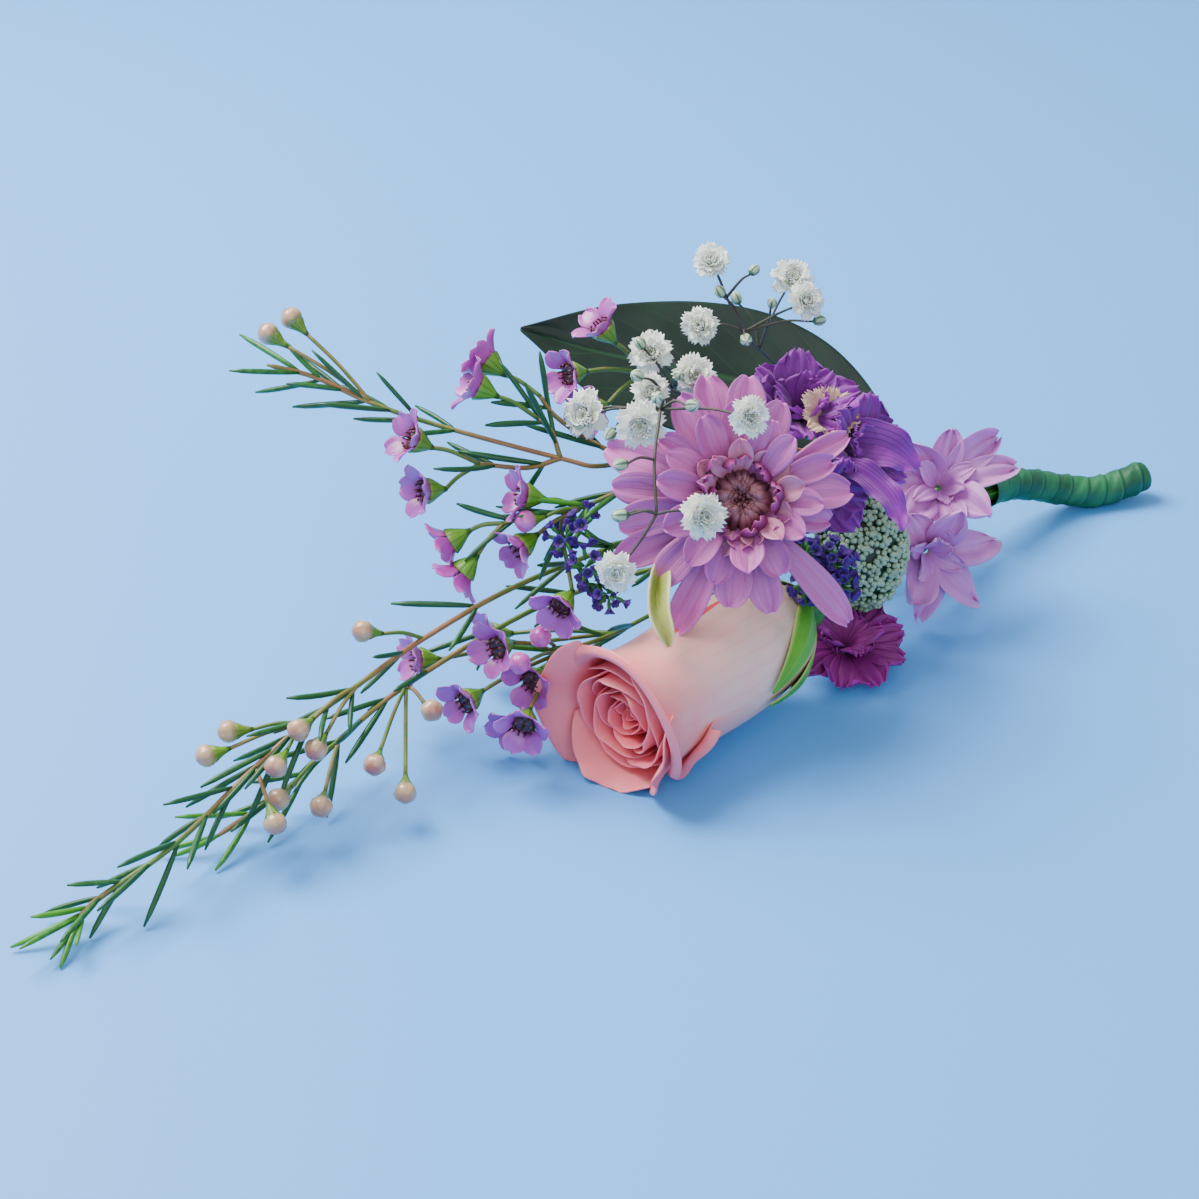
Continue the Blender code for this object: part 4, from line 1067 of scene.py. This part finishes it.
def make_umbel():
    chance = random.Random(41)
    middle = Vector((43, -17, 28.5))
    facing = Vector((-0.25, -0.85, 0.45)).normalized()
    where = pose(middle, facing)
    onward = [(72, -7, 17), (58, -10, 21), middle - facing * 8, middle - facing * 4]
    route, radii = stem(-3, -1, onward, 1.1)
    stems = [tube(route, radii, 10, 0.1)]
    core = turned([(-4.5, 1.2), (-3.5, 7.0), (0, 9.8), (4, 10.2), (7.5, 8.2), (10, 4.6), (10.9, 0.4)], 24,
                  smooth=1)
    core = core._replace(points=core.points * (1, 1.36, 1) - (0, 3.2, 0))
    piece("core_umbel", [put(core, where, 0.0)], LEAF_DARK, "umbel_grey_green")
    bud = turned([(-0.9, 0.3), (-0.4, 0.72), (0.1, 0.84), (0.6, 0.6), (0.82, 0.12)], 6)
    forms = []
    clusters = 84
    for number in range(clusters):
        share = (number + 0.5) / clusters
        tilt = math.acos(1 - 1.15 * share)
        angle = number * GOLDEN_ANGLE
        out = Vector((math.sin(tilt) * math.cos(angle), math.sin(tilt) * math.sin(angle), math.cos(tilt)))
        centre = Vector((out.x * 11, out.y * 15.2 - 3.2, -0.8 + out.z * 12.6)) * chance.uniform(0.97, 1.03)
        cluster = pose(centre, out, chance.uniform(0, 6))
        tint = chance.random()
        for k in range(9):
            spread = 1.75 * math.sqrt(k / 8)
            turn = k * GOLDEN_ANGLE
            place = Vector((spread * math.cos(turn), spread * math.sin(turn), -0.3 * spread ** 2))
            lean = Vector((place.x * 0.3, place.y * 0.3, 1))
            size = chance.uniform(0.75, 1.1)
            forms.append(put(bud, where @ cluster @ pose(place, lean, turn), tint * chance.random(), size))
    piece("buds_umbel", forms, UMBEL_BUD, "umbel_grey_green", "umbel_head")
    piece("stem_umbel_core", stems, STEM_GREEN, "stem_green", "umbel_stem")


def make_violet():
    chance = random.Random(53)
    kinds = []
    for _ in range(3):
        forms = []

        def lobe(_):
            return petal(2.1, 1.7, 76, 20, 0.25, 0.6, 0.4, 0.6, 0.5, 0.1, 0.05, 2, 0.14)

        flower(forms, Matrix.Identity(4), 5, chance, lobe, 3, 4, 0.16, 0)
        kinds.append(forms)
    calyx = turned([(-2.4, 0.12), (-1.6, 0.4), (-0.4, 0.62), (0.7, 0.5), (0.9, 0.2)], 6)
    sides = {
        "left": (stem(1, -1, [(66, -2, 19), (40, -5, 25), (5, -7, 37), (-20, -7, 41)], 0.8), 8,
                 [(-34, -9, 48), (-30, -10, 50), (-33, -15, 44), (-31, -20, 39), (-26, -3, 45),
                  (-29, -14, 38)]),
        "right": (stem(-2, 0, [(66, -3, 21), (46, -2, 26), (29, -9, 31), (22, -23, 35)], 0.8), 16,
                  [(13, -35, 33), (17, -34, 31), (15, -31, 37), (21, -35, 30), (20, -33, 36),
                   (22, -33, 33)]),
    }
    for side, ((route, radii), count, tips) in sides.items():
        stems = [tube(route, radii, 10, 0.2)]
        forms = []
        root = Vector(route[-1])
        for tip in map(Vector, tips):
            heading = (tip - root).normalized()
            stems.append(tube([root, root.lerp(tip, 0.5) - Vector((0, 0, 0.6)), tip], [0.6, 0.5, 0.35], 6,
                              0.1))
            for k in range(count):
                angle = k * GOLDEN_ANGLE
                tilt = math.acos(1 - 1.4 * (k + 0.5) / count)
                out = pose((0, 0, 0), heading) @ Vector((math.sin(tilt) * math.cos(angle),
                                                         math.sin(tilt) * math.sin(angle), math.cos(tilt)))
                place = tip + out * chance.uniform(1.8, 3.6)
                spot = pose(place, out, chance.uniform(0, 6))
                size = chance.uniform(0.7, 1.0)
                stems.append(put(calyx, spot, 0.1, size))
                forms += [put(form, spot, chance.random(), size) for form in kinds[k % 3]]
        piece(f"florets_violet_{side}", forms, VIOLET, "violet_blue", f"violet_sprig_{side}")
        piece(f"stem_violet_{side}", stems, STEM_GREEN, "stem_green")


def make_magenta():
    chance = random.Random(61)
    place, facing = Vector((32.4, -26, 4.2)), Vector((-0.1, -0.35, 0.93)).normalized()
    forms = []

    def outer_petal(_):
        return petal(chance.uniform(13, 16), 10, 40, -10, 0.6, 0, 0.3, 0.8, 0.6, 0.12, 0.06, 7, 0.06, 7,
                     0.3, 1.3, 4, chance.uniform(0, 6), chance.uniform(-0.3, 0.3))

    def inner_petal(_):
        return petal(chance.uniform(8, 11), 8, 70, 20, 0.4, 0.6, 0.3, 0.8, 0.6, 0.12, 0.08, 5, 0.1, 5, 0.3,
                     1.3, 4, chance.uniform(0, 6), chance.uniform(-0.4, 0.4))

    flower(forms, pose(place, facing), 9, chance, outer_petal, 14, 12, 0.28)
    flower(forms, pose(place, facing), 9, chance, inner_petal, 12, 10, 0.26, turn=0.4)
    piece("petals_magenta", forms, MAGENTA, "magenta_petals", "magenta_flower")
    onward = [(76, -3, 9), (56, -5, 5), (45, -13, 2.4), (39, -24, 1.3), place - facing * 0.8]
    route, radii = stem(-2, -2, onward, 0.9)
    piece("stem_magenta_bent", [tube(route, radii, 10, 0.1)], STEM_GREEN, "stem_green", "magenta_stem")


def make_leaf():
    spine = [(76, 4, 27), (70, 12, 33), (60, 26, 41), (43, 39, 47), (23, 52, 53), (7, 62, 60)]
    halves = (0.9, 9.5, 16, 17, 11.5, 0.4)
    shape = blade(spine, halves, (-0.45, -0.55, 0.7), 0.13, 0.7, 5, 0.3, 10, 0.5)
    route, radii = stem(4, 0, [(82, 2.5, 21), (76.5, 3.6, 26.4), (73.5, 7, 29.4), (71, 11, 32)], 1.0, 0.7)
    piece("leaf_blade", [sheet(shape, 24, 44, 0.5)], LEAF_DARK, "leaf_dark_green", "green_leaf")
    piece("leaf_stalk", [tube(route, radii, 10, 0.1)], STEM_GREEN, "stem_green")


# ---------------------------------------------------------------- gypsophila


def gypsophila_blooms(chance):
    """Three double flowers, each a ball of small rounded petals on a green cup."""
    blooms = []
    for _ in range(3):
        forms = []
        for count, rise, fall, length, width in ((8, 34, -4, 4.9, 3.7), (8, 52, 22, 4.8, 3.5),
                                                 (7, 66, 40, 4.6, 3.2), (6, 78, 60, 4.2, 2.8),
                                                 (5, 88, 78, 3.8, 2.4)):

            def shape(_):
                return petal(length * chance.uniform(0.88, 1.06), width, rise + chance.uniform(-8, 8),
                             fall + chance.uniform(-22, 22), 0.5, 0, 0.3, 0.7, 0.72, 0.08, 0.07, 3, 0.16,
                             ruffle=0.34, waves=3, phase=chance.uniform(0, 6),
                             twist=chance.uniform(-0.4, 0.4))

            flower(forms, Matrix.Identity(4), count, chance, shape, 6, 6, 0.15, 0, chance.uniform(0, 1))
        blooms.append(forms)
    return blooms


def make_gypsophila():
    chance = random.Random(71)
    blooms = gypsophila_blooms(chance)
    cup = turned([(-2.6, 0.4), (-1.8, 1.1), (-0.6, 1.6), (0.6, 1.75), (1.0, 1.5), (1.1, 0.2)], 10, ribs=5,
                 depth=0.1)
    bud = turned([(-1.7, 0.3), (-1.3, 0.9), (-0.5, 1.3), (0.4, 1.35), (1.1, 1.0), (1.6, 0.45),
                  (1.75, 0.08)], 12,
                 ribs=5, depth=0.07)
    sprigs = {
        "front": (stem(0, 2, [(66, -3, 33), (40, 0, 50), (14, -1, 62), (1, -5, 70), (-8, -8, 75.5),
                              (-15, -17, 76), (-23, -25, 70), (-28, -32, 62)], 0.5, 0.45),
                  [((-28, -32, 62), (-23, -40, 63)), ((-28, -32, 62), (-39, -33, 53)),
                   ((-8, -8, 75.5), (-16, -12, 71)), ((-15, -17, 76), (-11, -40, 82))],
                  [((-15, -17, 76), (-14, -26, 80)), ((-28, -32, 62), (-30, -22, 58)),
                   ((-28, -32, 62), (-34, -28, 62)), ((-15, -17, 76), (-20, -22, 82)),
                   ((-23, -25, 70), (-31, -24, 71)), ((-8, -8, 75.5), (-14, -8, 80))]),
        "top": (stem(2, 2, [(66, -2, 34), (47, 8, 54), (35, 9, 66), (27, 5, 74), (24, 8, 82)], 0.5, 0.45),
                [((24, 8, 82), (23, 12, 89)), ((27, 5, 74), (39, -1, 80)), ((35, 9, 66), (43, 8, 81)),
                 ((27, 5, 74), (17, 8, 77))],
                [((24, 8, 82), (31, 7, 87)), ((35, 9, 66), (33, 15, 77)), ((27, 5, 74), (22, 8, 84)),
                 ((27, 5, 74), (23, 0, 75)), ((35, 9, 66), (33, 3, 80)), ((27, 5, 74), (41, -4, 76))]),
        "side": (stem(1, 1, [(66, 2, 32), (40, 8, 50), (14, 7, 62), (4, 2, 68), (-10, -2, 69)], 0.5, 0.45),
                 [((4, 2, 68), (4, -5, 73.5)), ((14, 7, 62), (2, 7, 75)), ((-10, -2, 69), (-17, 5, 67)),
                  ((-10, -2, 69), (-9, -6, 74))],
                 [((14, 7, 62), (11, 18, 73)), ((-10, -2, 69), (-18, -4, 66)), ((4, 2, 68), (0, -5, 75)),
                  ((-10, -2, 69), (-20, 4, 66)), ((4, 2, 68), (-2, 6, 79))]),
    }
    for name, ((route, radii), flowers, buds) in sprigs.items():
        petals, green = [], []
        stems = [tube(route, finer(route, radii), 8, 0.5)]
        for number, (fork, tip) in enumerate(flowers + buds):
            fork, tip = Vector(fork), Vector(tip)
            heading = (tip - fork).normalized()
            blooming = number < len(flowers)
            facing = (heading * 0.35 + FRONT * 0.8).normalized() if blooming else heading
            foot = tip - facing * (2.4 if blooming else 1.5)
            bow = fork.lerp(foot, 0.55) + Vector((chance.uniform(-1, 1), chance.uniform(-1, 1), 0.9))
            twig = smooth_route([fork, bow, foot], 5)
            stems.append(tube(twig, np.linspace(0.34, 0.26, len(twig)), 6, chance.uniform(0.3, 0.7)))
            if blooming:
                where = pose(tip, facing, chance.uniform(0, 6))
                size = chance.uniform(0.82, 1.04)
                petals += [put(form, where, form.tint[0] * 0.6, size)
                           for form in blooms[number % len(blooms)]]
                green.append(put(cup, where, 0.2))
            else:
                green.append(put(bud, pose(tip, facing, chance.uniform(0, 6)), chance.random(),
                                 chance.uniform(0.8, 1.05)))
        piece(f"petals_gypsophila_{name}", petals, GYPS_WHITE, "gypsophila_white", f"gypsophila_{name}")
        piece(f"buds_gypsophila_{name}", green, GYPS_BUD, "gypsophila_bud")
        piece(f"stem_gypsophila_{name}", stems, GYPS_STEM, "gypsophila_stem")


# ---------------------------------------------------------------- waxflower


def waxflower_parts(chance):
    """Four open flowers and the other small parts, each drawn upright at the origin."""
    parts = {"blooms": [], "stamens": []}
    for _ in range(4):
        forms = []
        open_wide = chance.uniform(-8, 8)

        def shape(_):
            return petal(chance.uniform(5.0, 5.6), chance.uniform(5.4, 6.0), 58 + open_wide, 10 + open_wide,
                         2.2, 4.6, 0.5, 0.5, 0.4, 0.05, 0.0, 2, 0.16, ruffle=0.2, waves=2,
                         phase=chance.uniform(0, 6))

        flower(forms, Matrix.Identity(4), 5, chance, shape, 6, 7, 0.3, 1)
        parts["blooms"].append(forms)
    parts["calyx"] = turned([(-0.4, 0.5), (0.6, 0.8), (1.8, 1.5), (3.2, 2.3), (4.4, 2.8), (4.75, 2.75),
                             (4.4, 1.4)], 20,
                            ribs=10, depth=0.07)
    parts["disc"] = turned([(4.3, 2.0), (4.9, 2.35), (5.15, 2.2), (5.0, 1.5), (4.85, 0.6), (4.9, 0.3),
                            (5.6, 0.22), (6.6, 0.18), (7.1, 0.3), (7.25, 0.1)], 16)
    filament = tube([(2.1, 0, 5.0), (2.35, 0, 5.7), (2.0, 0, 6.3), (1.75, 0, 6.4)], [0.2, 0.16, 0.3, 0.14],
                    5, 0.6)
    for number in range(10):
        parts["stamens"].append(put(filament, around(number * math.pi / 5), 0.2 + 0.06 * number))
    parts["bud"] = turned([(-2.2, 0.8), (-1.7, 1.7), (-0.8, 2.25), (0.2, 2.4), (1.1, 2.1), (1.8, 1.4),
                           (2.2, 0.6), (2.3, 0.1)], 15, ribs=5, depth=0.05)
    parts["bud_cup"] = turned([(-5.2, 0.45), (-4.4, 0.6), (-3.2, 0.95), (-2.2, 1.45), (-1.5, 1.8),
                               (-1.4, 1.6)], 20,
                              ribs=10, depth=0.07)
    parts["needles"] = [needle(length, curve) for length, curve in ((13, 1.0), (16, 1.9), (18, 0.7))]
    return parts


def needles_along(route, first, last, count, chance, parts, phase=0.0):
    """Needle leaves in crossed pairs along a stretch of stem, leaning towards its tip."""
    forms = []
    heading = unit(np.gradient(route, axis=0))
    for number in range(count):
        index = round((first + (last - first) * number / max(count - 1, 1)) * (len(route) - 1))
        ahead = Vector(heading[index])
        side = ahead.cross(Vector((0, 0, 1))).normalized()
        side.rotate(Matrix.Rotation(phase + number * math.pi / 2, 3, ahead))
        for out in (side, -side):
            lean = math.radians(chance.uniform(16, 38))
            way = ahead * math.cos(lean) + out * math.sin(lean)
            way.z = max(way.z, (NEEDLE_CLEARANCE - route[index][2]) / NEEDLE_LENGTH)
            kind = chance.choice(parts["needles"])
            tint = chance.uniform(0, 0.4) + 0.5 * smoothstep((index / len(route) - 0.8)
                                                             / 0.2) * (len(route) > 60)
            forms.append(put(kind, pose(route[index], way, chance.uniform(0, 6)), tint,
                             chance.uniform(0.85, 1.05)))
    return forms


def make_waxflower(name, parts, main, needles=(), flowers=(), twigs=(), buds=(), brown=0.5, pink=False):
    """`needles` are stretches of the stem, `flowers` a fork, base and tip, `buds` a fork and tip."""
    chance = random.Random(name)
    route, radii = main
    radii = finer(route, radii)
    spine = smooth_route(route[::2], 5)
    tints = np.clip(brown + 0.25 * np.sin(np.arange(len(route)) * 0.37), 0, 1)
    stems = [tube(route, radii, 10, tints)]
    leaves, petals, calyxes, centres, closed = [], [], [], [], []
    for stretch in needles:
        leaves += needles_along(spine, *stretch[:3], chance, parts, *stretch[3:])
    for points, radius in twigs:
        curve = smooth_route(points, 6)
        stems.append(tube(curve, np.linspace(radius + 0.1, radius, len(curve)), 8,
                          chance.uniform(0.2, brown + 0.3)))
        leaves += needles_along(curve, 0.25, 0.8, 2, chance, parts, chance.uniform(0, 3))
    for number, (fork, base, tip) in enumerate(flowers):
        fork, base, tip = Vector(fork), Vector(base), Vector(tip)
        heading = (tip - base).normalized()
        curve = smooth_route([fork, fork.lerp(base, 0.6) + Vector((0, 0, 0.7)), base], 5)
        stems.append(tube(curve, 0.5, 8, chance.uniform(0.1, 0.6)))
        where = pose(base, heading, chance.uniform(0, 6))
        petals += [put(form, where, form.tint[0]) for form in parts["blooms"][number % 4]]
        calyxes.append(put(parts["calyx"], where, chance.random() * 0.6))
        centres += [put(parts["disc"], where, 0.1)] + [put(form, where) for form in parts["stamens"]]
    for fork, tip in buds:
        fork, tip = Vector(fork), Vector(tip)
        heading = (tip - fork).normalized()
        foot = tip - heading * 5
        curve = smooth_route([fork, fork.lerp(foot, 0.5) + Vector((0, 0, 0.8)), foot], 5)
        stems.append(tube(curve, 0.45, 8, chance.uniform(0.1, 0.7)))
        where = pose(tip, heading, chance.uniform(0, 6))
        closed.append(put(parts["bud"], where, chance.random()))
        calyxes.append(put(parts["bud_cup"], where, chance.random()))
    kept = [
        ("stem", stems, WAX_STEM, "waxflower_stem"), ("needles", leaves, WAX_NEEDLE, "waxflower_needle"),
        ("petals", petals, WAX_PETAL, "waxflower_pink"), ("calyxes", calyxes, WAX_CALYX, "waxflower_calyx"),
        ("centres", centres, WAX_CENTRE, "waxflower_centre"),
        ("buds", closed, WAX_PINK_BUD if pink else WAX_BUD, "waxflower_bud")]
    for kind, forms, finish, slot in kept:
        nodes = [f"waxflower_{name}"] if kind == "stem" else []
        if forms:
            piece(f"{kind}_waxflower_{name}", forms, finish, slot, *nodes)


def make_waxflowers():
    parts = waxflower_parts(random.Random(83))
    make_waxflower("long", parts, stem(2, 0, [
        (66, -1, 22), (40, 2, 28), (0, 3, 33), (-37, 3, 33), (-62, 4, 28), (-81, 1, 25), (-96, -2, 23),
        (-109, -3, 18), (-132, -9, 12), (-149, -8, 6), (-154, -9.2, 4.4)], 0.9, 0.4),
        needles=[(0.64, 0.995, 14, 0.4), (0.4, 0.6, 4, 1.1)],
        buds=[((-96, -2, 23), (-116, 4, 20)), ((-96, -2, 23), (-110, 5, 23)), ((-81, 1, 25), (-98, -9, 21)),
              ((-62, 4, 28), (-76, 6, 34)), ((-109, -3, 18), (-112, -15, 12)),
              ((-96, -2, 23), (-107, -8, 20)), ((-81, 1, 25), (-100, -6, 25))], brown=0.55)
    make_waxflower("second", parts, stem(2, -2, [
        (66, 0, 15), (40, 5, 18), (0, 9, 20), (-30, 9, 21), (-65, 7, 16), (-85, 3, 12), (-99, 0, 8),
        (-119, -1.4, 3.8)], 0.9, 0.4), needles=[(0.66, 0.99, 9, 0.8), (0.45, 0.6, 3, 0.2)],
        buds=[((-65, 7, 16), (-86, -12, 14)), ((-65, 7, 16), (-82, -17, 8)), ((-65, 7, 16), (-70, -10, 20)),
              ((-85, 3, 12), (-100, -13, 10)), ((-85, 3, 12), (-107, -8, 12))], brown=0.4)
    make_waxflower("upper", parts, stem(3, 1, [
        (66, 3, 29), (40, 9, 40), (10, 6, 50), (-17, -1, 57), (-26, 3, 60), (-44, 21, 66), (-55, 31, 71),
        (-62, 42, 75), (-70, 48, 78)], 0.8, 0.4), needles=[(0.70, 0.93, 7, 0.0)],
        flowers=[((-26, 10, 72), (-30, 17, 75.5), (-32, 21, 78)),
                 ((-28, 8, 68), (-35, 13, 73.5), (-40, 17, 77)),
                 ((-40, 13, 59), (-48, 19, 63), (-51, 20, 65)),
                 ((-40, 13, 59), (-47, 16, 54), (-53, 17, 55))],
        twigs=[([(-10, -2, 56), (-16, 6, 60), (-23, 9, 67), (-26, 10, 72)], 0.5),
               ([(-26, 3, 60), (-26, 6, 65), (-28, 8, 68)], 0.5),
               ([(-26, 3, 60), (-32, 7, 58), (-40, 13, 59)], 0.5)],
        buds=[((-55, 31, 71), (-68, 50, 84)), ((-55, 31, 71), (-62, 50, 86))], brown=0.6)
    main = stem(0, 0, [(66, -2, 25), (40, -2, 33), (10, -6, 43), (-10, -8, 52), (-18, -8, 54),
                       (-27, -5, 51.5)], 0.8, 0.5)
    fork = (-27, -5, 51.5)
    make_waxflower("middle", parts, main, needles=[(0.86, 0.97, 2, 0.3)],
                   flowers=[(fork, (-33, -1, 54), (-39, 2, 56)),
                            ((-42, 2, 50), (-48, 6, 48.5), (-53, 8, 46)),
                            (fork, (-36, -2, 47), (-41, -2, 45.5)),
                            ((-42, 2, 50), (-49, 2, 44.5), (-54, 3, 40)),
                            ((-31, -4, 45), (-36, -14, 38.5), (-41, -16, 37))],
                   twigs=[([fork, (-35, -1, 51), (-42, 2, 50)], 0.5),
                          ([fork, (-30, -3, 49), (-31, -4, 45)], 0.5)],
                   buds=[(fork, (-40, -3, 52))], brown=0.3, pink=True)
    main = stem(0, -2, [(66, -1, 12), (40, 4, 11), (10, 3, 13), (-15, -2, 15), (-32, -4, 17)], 0.8, 0.5)
    fork = (-32, -4, 17)
    make_waxflower("low", parts, main, needles=[(0.8, 0.99, 4, 0.9)],
                   flowers=[(fork, (-40, -9, 18), (-45, -11, 18)), (fork, (-45, -5, 25), (-51, -6, 26)),
                            (fork, (-52, -3, 14.5), (-58, -4, 14)), (fork, (-44, -8, 9), (-49, -10, 7.5)),
                            ((-15, -2, 15), (-30, 16, 12), (-38, 18, 13)),
                            ((-15, -2, 15), (-54, 10, 17), (-60, 12, 18)),
                            (fork, (-49, -16, 15), (-54, -20, 14))],
                   buds=[(fork, (-43, -12, 29)), (fork, (-50, -14, 26))], brown=0.3, pink=True)
    main = stem(3, -1, [(66, 5, 25), (45, 12, 38), (20, 15, 56), (4, 12, 68)], 0.7, 0.5)
    fork = (4, 12, 68)
    make_waxflower("back", parts, main,
                   flowers=[(fork, (0, 17, 74.5), (-3, 19, 79)), (fork, (-7, 11, 64), (-12, 10, 64.5)),
                            (fork, (-8, 17, 70), (-14, 17, 71))], brown=0.4)


# ---------------------------------------------------------------- studio


def make_studio():
    bpy.ops.object.select_all(action="DESELECT")
    bpy.ops.mesh.primitive_plane_add(size=6)
    floor = bpy.context.object
    floor.name = "studio_floor"
    paint = bpy.data.materials.new("floor_pale_blue")
    paint.use_nodes = True
    shader = paint.node_tree.nodes["Principled BSDF"]
    shader.inputs["Base Color"].default_value = FLOOR_BLUE
    shader.inputs["Roughness"].default_value = 0.6
    floor.data.materials.append(paint)

    world = bpy.data.worlds.new("soft_daylight")
    world.use_nodes = True
    world.node_tree.nodes["Background"].inputs["Color"].default_value = (0.90, 0.95, 1.0, 1)
    world.node_tree.nodes["Background"].inputs["Strength"].default_value = 0.72
    bpy.context.scene.world = world
    # name, place, size, power and colour
    lights = (("window", (-0.22, 0.5, 0.8), 0.6, 24.0, (1.0, 0.98, 0.96)),
              ("reflector", (-0.35, -0.75, 0.55), 0.7, 3.0, (0.96, 0.98, 1.0)))
    for name, place, size, power, colour in lights:
        lamp = bpy.data.lights.new(name, "AREA")
        lamp.size = size
        lamp.energy = power
        lamp.color = colour
        light = bpy.data.objects.new(name, lamp)
        light.location = place
        light.rotation_euler = (Vector(place) - Vector((0, 0, 0.04))).to_track_quat("Z", "Y").to_euler()
        bpy.context.scene.collection.objects.link(light)

    lens = bpy.data.cameras.new("camera")
    lens.lens = LENS_LENGTH
    lens.sensor_width = 36
    lens.clip_start = 0.02
    camera = bpy.data.objects.new("camera", lens)
    camera.location = CAMERA_PLACE
    camera.rotation_euler = (math.radians(CAMERA_TILT), 0, math.radians(CAMERA_HEADING))
    bpy.context.scene.collection.objects.link(camera)
    bpy.context.scene.camera = camera


make_studio()
make_tape()
make_rose()
make_mum()
make_statice()
make_larkspur()
make_umbel()
make_violet()
make_magenta()
make_leaf()
make_gypsophila()
make_waxflowers()
